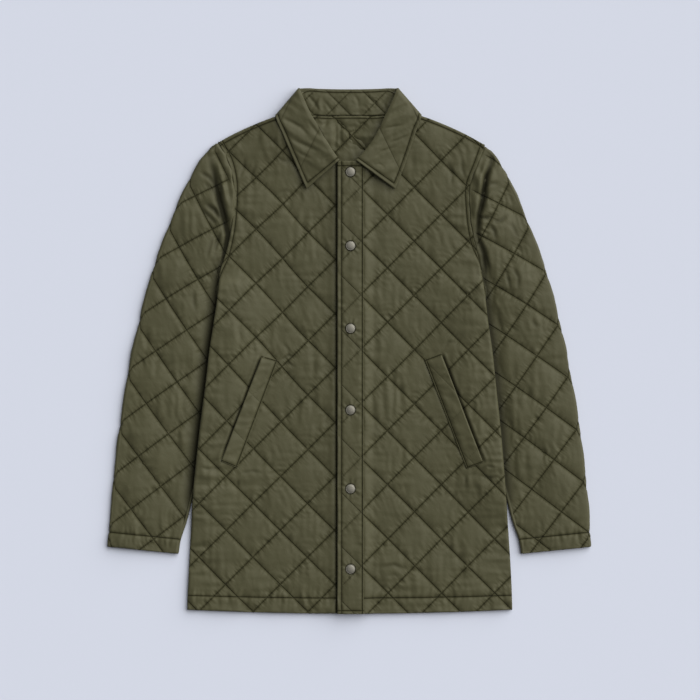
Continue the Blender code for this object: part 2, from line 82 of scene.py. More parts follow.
# The outline, a row for each level: y, the wearer's right and left edges, and how much of the
# shoulders' rise that row of cloth takes on. Above the underarm the edges are the armholes.
BODY = np.array([
    (HEM_Y, 0.2592, 0.2604, 0), (-0.3910, 0.2585, 0.2598, 0), (-0.3500, 0.2565, 0.2580, 0),
    (-0.2900, 0.2532, 0.2542, 0), (-0.2300, 0.2498, 0.2499, 0), (-0.1700, 0.2441, 0.2455, 0),
    (-0.1100, 0.2373, 0.2400, 0), (-0.0500, 0.2294, 0.2335, 0), (0.0000, 0.2237, 0.2283, 0),
    (0.0500, 0.2160, 0.2209, 0), (0.0960, 0.2095, 0.2158, 0), (0.1260, 0.2070, 0.2110, 0),
    (0.1600, 0.1963, 0.2035, 0.05), (0.1900, 0.1900, 0.1968, 0.20), (0.2250, 0.1862, 0.1928, 0.45),
    (0.2610, 0.1856, 0.1925, 0.75), (0.2980, 0.1940, 0.2060, 1), (TIP_Y, 0.2098, 0.2168, 1),
])
SHOULDER = np.array([
    (0.0880, 0.3870), (0.1060, 0.3780), (0.1260, 0.3712), (0.1630, 0.3565), (0.1900, 0.3435),
    (0.2168, 0.3285),
])
BACK_NECK = np.array([(0.0, 0.3752), (0.0500, 0.3756), (0.0740, 0.3790), (0.0880, 0.3870)])
FRONT_NECK = np.array([
    (0.0, 0.3030), (0.0210, 0.3030), (0.0400, 0.3130), (0.0500, 0.3215), (0.0680, 0.3430),
    (0.0800, 0.3640), (0.0880, 0.3870),
])
# The sleeve's hidden inner fold, by level: how far it lies in under the body's edge.
TUCK = np.array([
    (-0.3248, 0.0), (-0.2220, 0.0020), (-0.1720, 0.0110), (-0.1220, 0.0190), (-0.0720, 0.0260),
    (-0.0220, 0.0260), (0.0250, 0.0190), (0.0600, 0.0100), (0.0840, 0.0020), (0.0960, 0.0),
])


def curve(at, keys, values):
    """A smooth line through the points of a table, read at any places along its keys."""
    keys, values, at = np.asarray(keys), np.asarray(values), np.asarray(at, dtype=float)
    slopes = np.gradient(values, keys)
    i = np.clip(np.searchsorted(keys, at) - 1, 0, len(keys) - 2)
    step = keys[i + 1] - keys[i]
    t = np.clip((at - keys[i]) / step, 0.0, 1.0)
    start = (1 + 2 * t) * (1 - t) ** 2 * values[i] + t * (1 - t) ** 2 * step * slopes[i]
    return start + t * t * (3 - 2 * t) * values[i + 1] + t * t * (t - 1) * step * slopes[i + 1]


def ramp(value, start, end):
    """0 before start, 1 past end, eased between them; end may be below start."""
    t = np.clip((value - start) / (end - start), 0.0, 1.0)
    return t * t * (3 - 2 * t)


def noise(x, y, size, seed):
    """Smooth random heights, -1 to 1, in lumps as many metres across as `size`."""
    grid = np.random.default_rng(seed).uniform(-1, 1, (97, 97))
    x, y = (0.8 * x + 0.6 * y) / size + 40.3, (0.8 * y - 0.6 * x) / size + 40.7
    i, j = np.floor(x).astype(int), np.floor(y).astype(int)
    fx, fy = ramp(x - i, 0, 1), ramp(y - j, 0, 1)
    i, j, k, m = i % 97, j % 97, (i + 1) % 97, (j + 1) % 97
    near = grid[i, j] * (1 - fx) + grid[k, j] * fx
    return near * (1 - fy) + (grid[i, m] * (1 - fx) + grid[k, m] * fx) * fy


def side_edge(side, y):
    """How far from the middle the body's edge is at a level."""
    return curve(y, BODY[:, 0], BODY[:, 1 if side == RIGHT else 2])


def shoulder_y(x):
    return curve(x, SHOULDER[:, 0], SHOULDER[:, 1])


def risen(row):
    """How much of the shoulders' rise a row of the body's cloth takes on."""
    return np.clip(curve(row, BODY[:, 0], BODY[:, 3]), 0, 1)


def back_z(x, y):
    """How far the back is raised by the sleeves and by the collar turned under it."""
    edge = np.where(x < 0, side_edge(RIGHT, y), side_edge(LEFT, y))
    tuck = curve(y, TUCK[:, 0], TUCK[:, 1])
    along = ramp(y, UNDERARM_Y, 0.0960) * ramp(y, -0.2900, -0.2300)
    across = ramp(edge - abs(x), tuck + 0.085, tuck + 0.004)
    collar = FALL_LIFT * ramp(abs(x), 0.158, 0.123) * ramp(y, 0.296, 0.344)
    return (FLAT_SLEEVE + GAP) * along * across + collar


def front_z(x, y):
    """The height on which the right front lies; the left one climbs onto it at the middle."""
    beside_neck = ramp(abs(x), 0.130, 0.100) * ramp(abs(x), 0.025, 0.040)
    return back_z(x, y) + WALL + GAP + 0.001 * beside_neck * ramp(y, 0.270, 0.300)


EDGE_STATIONS = np.array([0.0, 0.0004, 0.0010, 0.0018, 0.0028, 0.0042])
AFTER_EDGE = 0.0058


def stations(length, spacing, stride=1):
    """Shares of a length, evenly spaced but closer together at its two rounded ends.

    The steps between them are a whole number of strides, so that a coarser grid fits the same edge.
    """
    count = int(round(length / spacing))
    count += -(count + 2 * len(EDGE_STATIONS) - 1) % stride
    middle = np.linspace(AFTER_EDGE, length - AFTER_EDGE, count)
    return np.concatenate([EDGE_STATIONS, middle, length - EDGE_STATIONS[::-1]]) / length


def panel_plan(columns, rows, left_edge, right_edge, neck):
    """Where each point of a panel lies in plan, with its distances from the hem and the top."""
    row = (HEM_Y + rows * (TIP_Y - HEM_Y))[:, None]
    share = columns[None, :]
    x = left_edge(row) * (1 - share) + right_edge(row) * share
    top_x = abs(left_edge(TIP_Y) * (1 - share) + right_edge(TIP_Y) * share)
    top_y = np.where(top_x < SHOULDER[0, 0], curve(top_x, neck[:, 0], neck[:, 1]), shoulder_y(top_x))
    drop = HEM_DROP * (1 - np.clip(abs(x) / 0.26, 0, 1) ** 2) * ramp(row, HEM_DROP_START_Y, HEM_Y)
    y = row + risen(row) * (top_y - TIP_Y) - drop
    return x, y, np.broadcast_to(row - HEM_Y, x.shape), np.broadcast_to(TIP_Y - row, x.shape)


def least(*distances):
    return np.minimum.reduce(np.broadcast_arrays(*distances))


def rounded(distance, radius=0.0021):
    """The share of a wall's thickness that is left this far from its rounded edge."""
    reach = 1 - np.clip(distance / radius, 0, 1)
    return np.maximum(np.sqrt(1 - reach**2), 0.12)


def lattice(x, y, crossing, step, wobble_seed):
    """Coordinates that count the lines of stitching, a little wavy as a hand guides them."""
    x = x + 0.0011 * noise(x, y, 0.11, wobble_seed)
    y = y + 0.0011 * noise(x, y, 0.13, wobble_seed + 1)
    across, along = (x - crossing[0]) / step[0], (y - crossing[1]) / step[1]
    return (across + along) / 2, (across - along) / 2


def groove(distance):
    """1 on a line of stitching, falling away beside it in a narrow V."""
    return np.exp(-((abs(distance) / 0.0022) ** 1.5))


def quilted(u, v, x, y, seed, puff=0.0024, pucker=0.0012, run=0.0085):
    """The relief of quilted cloth: soft diamonds between stitching that puckers the cloth."""
    du, dv = (u - np.round(u)) * PITCH, (v - np.round(v)) * PITCH
    relief = puff * (1 - np.exp(-abs(du) / run)) * (1 - np.exp(-abs(dv) / run)) - 0.6 * puff
    for across, along, line in ((du, v, np.round(u)), (dv, u, np.round(v))):
        relief -= 0.0006 * groove(across)
        strength = 0.75 + 0.5 * noise(x, y, 0.045, seed + 3)
        wave = noise(along * PITCH, across * 0.30 + line * 0.7, 0.0052, seed + 5)
        relief += pucker * strength * wave * np.exp(-abs(across) / 0.0080)
    # Faint arcs spread up and down from each crossing, where four corners are gathered.
    reach = np.sqrt(du**2 + dv**2) + 1e-6
    upright = ((du - dv) ** 2 / 2) / reach**2
    arcs = np.sin(reach / 0.0085 * 2 * pi + 5 * noise(x, y, 0.05, seed + 9))
    arcs *= np.clip(0.4 + noise(x, y, 0.06, seed + 11), 0, 1)
    relief += 0.00060 * arcs * upright * np.exp(-reach / 0.017) * ramp(reach, 0.0, 0.006)
    # Streaks: long soft wrinkles up and down and from side to side, here and there.
    relief += 0.0014 * noise(x, 0.16 * y, 0.0075, seed + 13) * noise(x, y, 0.040, seed + 14)
    relief += 0.0010 * noise(0.16 * x, y, 0.0075, seed + 15) * noise(x, y, 0.045, seed + 16)
    relief += 0.0006 * noise(x + 0.4 * y, 0.3 * y, 0.0060, seed + 18) * noise(x, y, 0.030, seed + 19)
    return relief + 0.0010 * noise(x, y, 0.055, seed + 17)


def stitched(relief, distance, along, seed, pinch=0.0055, depth=0.0010, pucker=0.0008):
    """Presses a line of stitching into a relief, with short puckers across it."""
    near = np.exp(-abs(distance) / pinch)
    strength = 0.7 + 0.6 * noise(along, along, 0.03, seed + 1)
    waves = noise(along, distance * 0.35, 0.0048, seed) * strength
    return relief * (1 - 0.6 * near) - depth * groove(distance) + pucker * waves * near


def crease(x, y, path, depth, width):
    """A soft trough along a path, deepest in its middle; a ridge where depth is below nothing."""
    path = np.array(path)
    lengths = np.linalg.norm(np.diff(path, axis=0), axis=1)
    nearest, place = np.full(np.shape(x), 9.0), np.zeros(np.shape(x))
    for i, (start, end) in enumerate(zip(path, path[1:])):
        run = end - start
        t = np.clip(((x - start[0]) * run[0] + (y - start[1]) * run[1]) / (run @ run), 0, 1)
        away = np.hypot(x - start[0] - t * run[0], y - start[1] - t * run[1])
        place = np.where(away < nearest, (lengths[:i].sum() + t * lengths[i]) / lengths.sum(), place)
        nearest = np.minimum(nearest, away)
    return -depth * np.sin(pi * np.clip(place, 0.02, 0.98)) ** 0.6 * np.exp(-((nearest / width) ** 2))


def creased(x, y, creases):
    return sum(crease(x, y, path, depth, width) for path, depth, width in creases)


def shell(name, top, under, finish, quilt, seams=None, stride=1, closed=False, painted_shade=0.0):
    """A closed wall of cloth between two grids of points, the second of them taken coarsely.

    quilt holds (u, v, strength) for the stitched diamonds, and seams up to three distances from
    lines of stitching, for the material to draw. A closed grid goes round, as a sleeve does.
    The last argument, the painted shade, says how much the colour is darkened where the cloth tucks in
    beside another layer, in its folds and in slits.
    """
    rows, columns = top.shape[:2]
    low = under[::stride, ::stride]
    ids = np.arange(rows * columns).reshape(rows, columns)
    low_ids = rows * columns + np.arange(low.shape[0] * low.shape[1]).reshape(low.shape[:2])
    if closed:
        ids, low_ids = np.hstack([ids, ids[:, :1]]), np.hstack([low_ids, low_ids[:, :1]])
    faces = []
    for grid in (ids, low_ids[:, ::-1]):
        corners = (grid[:-1, :-1], grid[:-1, 1:], grid[1:, 1:], grid[1:, :-1])
        faces += np.stack(corners, -1).reshape(-1, 4).tolist()
    rims = [(ids[0], low_ids[0]), (ids[-1, ::-1], low_ids[-1, ::-1])]
    if not closed:
        rims += [(ids[::-1, 0], low_ids[::-1, 0]), (ids[:, -1], low_ids[:, -1])]
    for high_rim, low_rim in rims:
        for k in range(len(low_rim) - 1):
            above = high_rim[k * stride : (k + 1) * stride + 1].tolist()
            faces.append(above[::-1] + [int(low_rim[k]), int(low_rim[k + 1])])
    mesh = bpy.data.meshes.new(name)
    mesh.from_pydata(np.vstack([top.reshape(-1, 3), low.reshape(-1, 3)]).tolist(), [], faces)
    seams = np.ones(top.shape) if seams is None else seams
    for label, values in (("quilt", quilt), ("seam", seams)):
        both = np.vstack([values.reshape(-1, 3), values[::stride, ::stride].reshape(-1, 3)])
        attribute = mesh.attributes.new(label, "FLOAT_VECTOR", "POINT")
        attribute.data.foreach_set("vector", both.astype(np.float32).ravel())
    painted_shade = np.clip(np.broadcast_to(painted_shade, top.shape[:2]), 0, 0.9)
    both = np.concatenate([painted_shade.ravel(), painted_shade[::stride, ::stride].ravel()])
    mesh.attributes.new("painted_shade", "FLOAT", "POINT").data.foreach_set("value", both.astype(np.float32))
    bm = bmesh.new()
    bm.from_mesh(mesh)
    bmesh.ops.recalc_face_normals(bm, faces=bm.faces)
    bm.to_mesh(mesh)
    bm.free()
    mesh.shade_smooth()
    mesh.materials.append(finish)
    obj = bpy.data.objects.new(name, mesh)
    bpy.context.scene.collection.objects.link(obj)
    return obj


def linear(hex_colour):
    """An sRGB hex colour as the linear colour that shaders take."""
    parts = [int(hex_colour[i : i + 2], 16) / 255 for i in (1, 3, 5)]
    return [p / 12.92 if p <= 0.04045 else ((p + 0.055) / 1.055) ** 2.4 for p in parts] + [1.0]


def node(tree, kind, settings=(), inputs=()):
    """Adds a shader node, sets it up, and links or sets its inputs."""
    made = tree.nodes.new(kind)
    for key, value in dict(settings).items():
        setattr(made, key, value)
    for key, value in dict(inputs).items():
        if isinstance(value, bpy.types.NodeSocket):
            tree.links.new(value, made.inputs[key])
        else:
            made.inputs[key].default_value = value
    return made


def sums(tree, operation, *values):
    return node(tree, "ShaderNodeMath", {"operation": operation}, enumerate(values)).outputs[0]


def line_mask(tree, millimetres, half_width):
    """1 on a line and 0 a little way off it, from the distance in millimetres."""
    settings = {"interpolation_type": "SMOOTHSTEP"}
    inputs = {"Value": millimetres, "From Min": 0.3 * half_width, "From Max": 1.6 * half_width}
    inputs.update({"To Min": 1.0, "To Max": 0.0})
    return node(tree, "ShaderNodeMapRange", settings, inputs).outputs[0]


THREAD_STEP = 0.0034  # from one needle hole to the next but one
LOW_GLOSS = 0.25


def nylon(name, colour):
    """Nylon taffeta: a low, soft sheen, stitching sunk into it and fine crinkles beside that."""
    made = bpy.data.materials.new(name)
    made.use_nodes = True
    tree = made.node_tree
    shader = tree.nodes["Principled BSDF"]
    quilt = node(tree, "ShaderNodeAttribute", {"attribute_name": "quilt"}).outputs["Vector"]
    seam = node(tree, "ShaderNodeAttribute", {"attribute_name": "seam"}).outputs["Vector"]
    u, v, strength = node(tree, "ShaderNodeSeparateXYZ", (), {0: quilt}).outputs
    place = node(tree, "ShaderNodeTexCoord").outputs["Object"]
    lines, groove_shades, puckers = [], [], []
    for across, along in ((u, v), (v, u)):
        offset = sums(tree, "SUBTRACT", sums(tree, "FRACT", sums(tree, "ADD", across, 100.5)), 0.5)
        away = sums(tree, "MULTIPLY", sums(tree, "ABSOLUTE", offset), PITCH * 1000)
        # A soft band of painted shade lies each side of the line, down in its groove.
        groove_shades.append(sums(tree, "POWER", 0.86, sums(tree, "MULTIPLY", away, away)))
        # The thread goes down and up again, so the line is a little darker at every second hole.
        beat = sums(tree, "SINE", sums(tree, "MULTIPLY", along, 2 * pi * PITCH / THREAD_STEP))
        beat = sums(tree, "MULTIPLY_ADD", beat, 0.10, 0.88)
        lines.append(sums(tree, "MULTIPLY", line_mask(tree, away, 0.85), beat))
        # Short puckers run across the line and die away within a centimetre of it.
        fine = sums(tree, "MULTIPLY", along, PITCH / 0.0046)
        slow = sums(tree, "MULTIPLY", across, PITCH / 0.016)
        spot = node(tree, "ShaderNodeCombineXYZ", (), {0: fine, 1: slow}).outputs[0]
        ripple = node(tree, "ShaderNodeTexNoise", {"noise_dimensions": "2D"},
                      {"Vector": spot, "Scale": 1.0, "Detail": 1.5}).outputs[0]
        ripple = sums(tree, "SUBTRACT", ripple, 0.5)
        puckers.append(sums(tree, "MULTIPLY", ripple, sums(tree, "POWER", 0.84, away)))
    quilting = sums(tree, "MULTIPLY", sums(tree, "MAXIMUM", *lines), strength)
    groove_shade = sums(tree, "MULTIPLY", sums(tree, "MAXIMUM", *groove_shades), strength)
    pucker = sums(tree, "MULTIPLY", sums(tree, "ADD", *puckers), strength)
    edges = None
    for distance in node(tree, "ShaderNodeSeparateXYZ", (), {0: seam}).outputs:
        away = sums(tree, "ABSOLUTE", sums(tree, "MULTIPLY", distance, 1000.0))
        mask = line_mask(tree, away, 0.7)
        edges = mask if edges is None else sums(tree, "MAXIMUM", edges, mask)
        # The seams get the same soft band of painted shade.
        groove_shade = sums(tree, "MAXIMUM", groove_shade, sums(tree, "POWER", 0.80, sums(tree, "MULTIPLY", away, away)))
    # Crinkles a centimetre or so long, and the grain of the weave, both very shallow.
    crinkle = node(tree, "ShaderNodeTexNoise", {"noise_dimensions": "3D"},
                   {"Vector": place, "Scale": 95.0, "Detail": 3.0, "Distortion": 0.6}).outputs[0]
    grain = node(tree, "ShaderNodeTexNoise", {"noise_dimensions": "3D"},
                 {"Vector": place, "Scale": 900.0, "Detail": 1.0}).outputs[0]
    height = sums(tree, "MULTIPLY", pucker, 2.0)
    height = sums(tree, "SUBTRACT", height, sums(tree, "MULTIPLY", quilting, 0.8))
    height = sums(tree, "SUBTRACT", height, sums(tree, "MULTIPLY", edges, 0.7))
    height = sums(tree, "ADD", height, sums(tree, "MULTIPLY", crinkle, 0.45))
    height = sums(tree, "ADD", height, sums(tree, "MULTIPLY", grain, 0.02))
    bump = node(tree, "ShaderNodeBump", (), {"Strength": 1.0, "Distance": 0.001, "Height": height})
    # Painted shade darkens the colour in the stitched grooves and along the lines of stitching, and the
    # colour mottles very slightly over its breadth.
    cloud = node(tree, "ShaderNodeTexNoise", {"noise_dimensions": "3D"},
                 {"Vector": place, "Scale": 14.0, "Detail": 2.0}).outputs[0]
    shade = sums(tree, "MULTIPLY_ADD", cloud, 0.16, 0.92)
    # The lines of stitching are drawn darker: partly the seam's own dark line, partly painted shade in
    # its groove.
    thread = sums(tree, "MULTIPLY", quilting, 0.44), sums(tree, "MULTIPLY", edges, 0.5)
    stitch_line_and_shade = sums(tree, "MAXIMUM", *thread)
    shade = sums(tree, "MULTIPLY", shade, sums(tree, "SUBTRACT", 1.0, stitch_line_and_shade))
    shade = sums(tree, "MULTIPLY", shade, sums(tree, "MULTIPLY_ADD", groove_shade, -0.25, 1.0))
    # Then each piece's own painted shade, in its folds, slits and beside layers lying on it.
    painted_shade = node(tree, "ShaderNodeAttribute", {"attribute_name": "painted_shade"}).outputs["Fac"]
    shade = sums(tree, "MULTIPLY", shade, sums(tree, "SUBTRACT", 1.0, painted_shade))
    scale = {0: linear(colour)[:3], "Scale": shade}
    tint = node(tree, "ShaderNodeVectorMath", {"operation": "SCALE"}, scale).outputs[0]
    # Where shade is painted, in the grooves and folds, the gloss is lowered too, as little light
    # glances off there.
    dull = sums(tree, "MAXIMUM", painted_shade, sums(tree, "MULTIPLY", groove_shade, 0.8))
    gloss = sums(tree, "MULTIPLY_ADD", dull, -LOW_GLOSS, LOW_GLOSS)
    tree.links.new(tint, shader.inputs["Base Color"])
    tree.links.new(bump.outputs[0], shader.inputs["Normal"])
    tree.links.new(gloss, shader.inputs["Specular IOR Level"])
    shader.inputs["Roughness"].default_value = 0.62
    shader.inputs["Sheen Weight"].default_value = 0.05
    shader.inputs["Sheen Roughness"].default_value = 0.45
    return made


def vectors(*parts):
    """Points or triples from their three parts, each a grid or a single number."""
    return np.stack(np.broadcast_arrays(*parts), axis=-1).astype(float)


OLIVE = "#47452E"
olive_nylon = nylon("olive_nylon_taffeta", OLIVE)

# Columns and rows, closer together inside the neck and at the rounded edges.
HALF_WIDTH, HALF_NECK = 0.26, 0.082
fine = np.linspace(-HALF_NECK, HALF_NECK, 83)
outer = np.linspace(-HALF_WIDTH, -HALF_NECK, 43)[:-1]
columns = (np.concatenate([outer, fine, -outer[::-1]]) + HALF_WIDTH) / (2 * HALF_WIDTH)
columns = np.sort(np.concatenate([columns, [0.001, 0.003, 0.997, 0.999]]))
rows = np.concatenate([[0, 0.0006, 0.0014, 0.003], np.linspace(0.0055, 0.92, 168)])
rows = np.concatenate([rows, np.linspace(0.92, 1, 34)[1:]])
x, y, from_hem, from_top = panel_plan(
    columns, rows, lambda row: -side_edge(RIGHT, row), lambda row: side_edge(LEFT, row), BACK_NECK
)
u, v = lattice(x, y, *BACK_LATTICE)
from_side = np.minimum(columns, 1 - columns)[None, :] * 0.5
thick = rounded(least(from_side, from_hem, from_top)) * WALL / 2
middle = back_z(x, y) + WALL / 2
relief = quilted(u, v, x, y, 20)
relief = stitched(relief, from_hem - HEM_STITCH, x, 21)
inside_neck = ramp(abs(x), 0.085, 0.070) * ramp(y, 0.285, 0.300)
# The inside of the back sags softly between the collar's leaves.
relief_up = relief * (0.25 + 1.45 * inside_neck) - 0.0004
relief_up += creased(x, y, [
    ([(-0.0230, 0.3700), (-0.0215, 0.3480), (-0.0235, 0.3180)], 0.0036, 0.0042),
    ([(-0.0120, 0.3680), (-0.0150, 0.3500), (-0.0130, 0.3250)], 0.0024, 0.0036),
    ([(-0.0340, 0.3690), (-0.0420, 0.3560)], 0.0026, 0.0034),
])
neck_seam = from_top - 0.0040
relief_up = stitched(relief_up, neck_seam, x, 22, depth=0.0005)
under_z = np.maximum(middle - thick - np.minimum(relief + 0.0002, 0), 0.0)
back = shell(
    "back_cloth",
    vectors(x, y, middle + thick + relief_up),
    vectors(x, y, under_z),
    olive_nylon,
    vectors(u, v, 1.0),
    vectors(from_hem - HEM_STITCH, neck_seam, 1.0),
)
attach(back, "root")
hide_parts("back")

# ---------------------------------------------------------------- the two quilted fronts
# The same quilted cloth. The left front lies over the right one at the middle. Hem and shoulder
# are stitched, and a narrow strip beside each armhole is topstitched flat.
UNDERLAP_X = 0.0210  # the right front's edge, hidden under the left one
FRONT_EDGE_X = -0.0194  # the left front's edge
OVERLAP_XS = (0.0400, 0.0235)  # between these the left front climbs onto the right one
SEAM_STRIP = 0.0062
FRONT_LATTICES = {
    RIGHT: ((-0.0230, 0.2317), (0.0436, 0.0433), 100),
    LEFT: ((0.0608, 0.2175), (0.0429, 0.0432), 200),
}
WELTS = {  # top and foot of the open outer edge, then of the sewn inner one
    RIGHT: np.array([(-0.1397, -0.0078), (-0.2050, -0.1768), (-0.1139, -0.0152), (-0.1792, -0.1878)]),
    LEFT: np.array([(0.1466, -0.0042), (0.2136, -0.1787), (0.1200, -0.0142), (0.1870, -0.1888)]),
}
# Creases on the fronts: path, depth and width. They are uneven, and lie where the cloth is
# pulled: at the ends of the welts, along the sides and under the collar.
FRONT_CREASES = {
    RIGHT: [
        ([(-0.1090, -0.0160), (-0.0980, -0.0080), (-0.0860, -0.0110)], 0.0021, 0.0026),
        ([(-0.1080, -0.0230), (-0.0960, -0.0200), (-0.0860, -0.0270)], 0.0015, 0.0024),
        ([(-0.1060, 0.0120), (-0.0980, 0.0020), (-0.0960, -0.0090)], 0.0012, 0.0028),
        ([(-0.1740, -0.1960), (-0.1560, -0.1930), (-0.1400, -0.1950)], 0.0015, 0.0030),
        ([(-0.1780, -0.2060), (-0.1790, -0.2180)], 0.0014, 0.0022),
        ([(-0.2080, -0.1860), (-0.2230, -0.1900), (-0.2380, -0.1860)], 0.0014, 0.0026),
        ([(-0.1500, 0.2980), (-0.1580, 0.2780), (-0.1540, 0.2620)], 0.0018, 0.0032),
        ([(-0.1670, 0.3080), (-0.1700, 0.2900), (-0.1760, 0.2760)], 0.0015, 0.0028),
        ([(-0.1180, 0.3080), (-0.1010, 0.3020), (-0.0900, 0.3060)], 0.0015, 0.0030),
        ([(-0.1160, 0.2500), (-0.1010, 0.2560), (-0.0900, 0.2500)], 0.0012, 0.0026),
    ],
    LEFT: [
        ([(0.2090, -0.1900), (0.2200, -0.1840), (0.2340, -0.1870)], 0.0018, 0.0026),
        ([(0.2080, -0.1990), (0.2250, -0.2040), (0.2390, -0.2000)], 0.0015, 0.0026),
        ([(0.1860, -0.2000), (0.1850, -0.2130)], 0.0014, 0.0022),
        ([(0.1180, -0.0080), (0.1060, 0.0000), (0.0950, -0.0060)], 0.0015, 0.0028),
        ([(0.1490, 0.0020), (0.1580, 0.0130), (0.1700, 0.0140)], 0.0012, 0.0026),
        ([(0.1560, 0.3020), (0.1640, 0.2840), (0.1620, 0.2660)], 0.0016, 0.0032),
        ([(0.1790, 0.3080), (0.1800, 0.2900), (0.1860, 0.2740)], 0.0015, 0.0028),
        ([(0.0500, -0.3480), (0.0700, -0.3420), (0.0900, -0.3500)], 0.0014, 0.0034),
        ([(0.0540, -0.3620), (0.0720, -0.3580), (0.0880, -0.3640)], 0.0009, 0.0030),
    ],
}


def line_distance(x, y, start, end):
    """The signed distance from the line through two points, and the distance along it."""
    run = (end - start) / np.linalg.norm(end - start)
    x, y = x - start[0], y - start[1]
    return x * run[1] - y * run[0], x * run[0] + y * run[1]


def climb(x):
    """How far the left front is raised where it lies over the right one."""
    return (WALL + GAP) * ramp(x, *OVERLAP_XS)


def welt_relief(side, x, y, relief):
    """Sinks the slit under a welt's open edge and the line of stitching along its sewn one."""
    top_out, foot_out, top_in, foot_in = WELTS[side]
    length = np.linalg.norm(foot_out - top_out)
    away, along = line_distance(x, y, top_out, foot_out)
    away *= side
    inside = ramp(along, -0.001, 0.006) * ramp(along, length + 0.001, length - 0.006)
    relief = relief - 0.0026 * inside * np.exp(-(((away + 0.0006) / 0.0022) ** 2))
    relief = relief + 0.0007 * inside * np.exp(-(((away + 0.0055) / 0.003) ** 2))
    away, along = line_distance(x, y, top_in, foot_in)
    inside = ramp(along, -0.004, 0.002) * ramp(along, length + 0.004, length - 0.002)
    pressed = stitched(relief, away, along, 31 + side, depth=0.0010)
    return relief + (pressed - relief) * inside


def front_panel(side, name):
    """One front: its plan, the height it lies at, and its relief."""
    crossing, step, seed = FRONT_LATTICES[side]
    inner = UNDERLAP_X if side == RIGHT else FRONT_EDGE_X
    columns = stations(0.235, 0.00172, 8)
    rows = stations(0.745, 0.00178, 8)
    edges = [lambda row: side * side_edge(side, row), lambda row: inner + 0 * row]
    x, y, from_hem, from_top = panel_plan(columns, rows, *edges, FRONT_NECK)
    from_side = abs(x - side * side_edge(side, from_hem + HEM_Y))
    from_inner = abs(x - inner)
    from_top = from_top * 0.92
    # Beside the right armhole the quilting is drawn a little outwards and up.
    drawn = ramp(y, -0.200, 0.050) if side == RIGHT else 0.0
    u, v = lattice(
        x - 0.0045 * drawn * ramp(x, -0.060, -0.130),
        y - 0.0060 * drawn * ramp(x, -0.070, -0.160) * ramp(y, 0.300, 0.200),
        crossing, step, seed,
    )
    relief = quilted(u, v, x, y, seed)
    # Towards the sides and the hem the cloth is slacker, and crinkles more.
    slack = np.maximum(ramp(from_side, 0.060, 0.012), 0.8 * ramp(from_hem, 0.10, 0.03))
    wrinkles = noise(0.20 * x, y, 0.0080, seed + 21) * (0.6 + 0.6 * noise(x, y, 0.03, seed + 22))
    relief += 0.0019 * slack * wrinkles
    hem = from_hem - HEM_STITCH
    relief = stitched(relief, hem, x, seed + 23, depth=0.0013, pucker=0.0020, pinch=0.0110)
    # The armhole's topstitching runs out at the body's edge, under the arm.
    foot = 0.100 if side == RIGHT else 0.128
    armhole = from_side + 0.0018 - (SEAM_STRIP + 0.0018) * ramp(y, foot, foot + 0.045)
    relief = stitched(relief, armhole, y, seed + 24, depth=0.0012, pucker=0.0009)
    shoulder = from_top - 0.0048 + 0.05 * ramp(abs(x), 0.100, 0.085)
    relief = stitched(relief, shoulder, x, seed + 25, depth=0.0007)
    relief = welt_relief(side, x, y, relief)
    if side == LEFT:
        relief = stitched(relief, x - 0.0227, y, seed + 26, depth=0.0004, pucker=0.0006, pinch=0.007)
    folds = creased(x, y, FRONT_CREASES[side])
    relief += folds
    # Painted shade in the creases, deeper where they are deeper.
    painted_shade = 0.22 * np.clip(-folds / 0.0025, 0, 1)
    if side == RIGHT:
        # The right front swells softly beside the band, and a narrow strip of painted shadow lies
        # beside the band's edge.
        relief += 0.0012 * np.exp(-(((x - FRONT_EDGE_X + 0.0070) / 0.0060) ** 2))
        painted_shade = np.maximum(painted_shade, 0.86 * np.exp(-((np.maximum(FRONT_EDGE_X - x, 0) / 0.0026) ** 2)))
    # The slit under the welt is painted with shade, in a strip that widens towards its foot.
    top_out, foot_out = WELTS[side][:2]
    away, along = line_distance(x, y, top_out, foot_out)
    slit = ramp(along, 0.0, 0.010) * ramp(along, np.linalg.norm(foot_out - top_out), 0.155)
    gape = 0.0014 + 0.0022 * slit
    painted_shade = np.maximum(painted_shade, 0.90 * slit * np.exp(-(((side * away - 0.0004) / gape) ** 2)))
    # Where another layer lies on it, the front stays below that layer.
    hidden = ramp(x, -0.0235, -0.0200) if side == RIGHT else ramp(x, 0.0240, 0.0215)
    relief = relief * (1 - hidden) - 0.0005 * hidden
    nearest = least(from_side, from_inner, from_hem, from_top)
    thick = rounded(nearest) * WALL / 2
    side_drop = 0.0009 * ramp(from_side, 0.004, 0.0) * (y < UNDERARM_Y)
    middle = front_z(x, y) + (climb(x) if side == LEFT else 0.0) + WALL / 2 - side_drop
    panel = shell(
        name,
        vectors(x, y, middle + thick + relief * ramp(nearest, -0.001, 0.003)),
        vectors(x, y, middle - thick),
        olive_nylon,
        vectors(u, v, 1.0),
        vectors(hem, armhole, shoulder),
        stride=8,
        painted_shade=painted_shade,
    )
    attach(panel, "root")
    return panel


front_right = front_panel(RIGHT, "front_right_cloth")
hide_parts("front_right")
front_left = front_panel(LEFT, "front_left_cloth")
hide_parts("front_left")

# ---------------------------------------------------------------- the two sleeves
# Each is one quilted piece sewn into a tube, pressed flat beside the body, with a turned cuff.
# The lines of stitching follow the sleeve's bend. Deep folds lie beside the armhole seam.
CUFF_STITCH = 0.0235  # the cuff's line of stitching, above its edge
HEAD_RISE = 0.0031  # the sleeve's head stands this much above the shoulder's tip

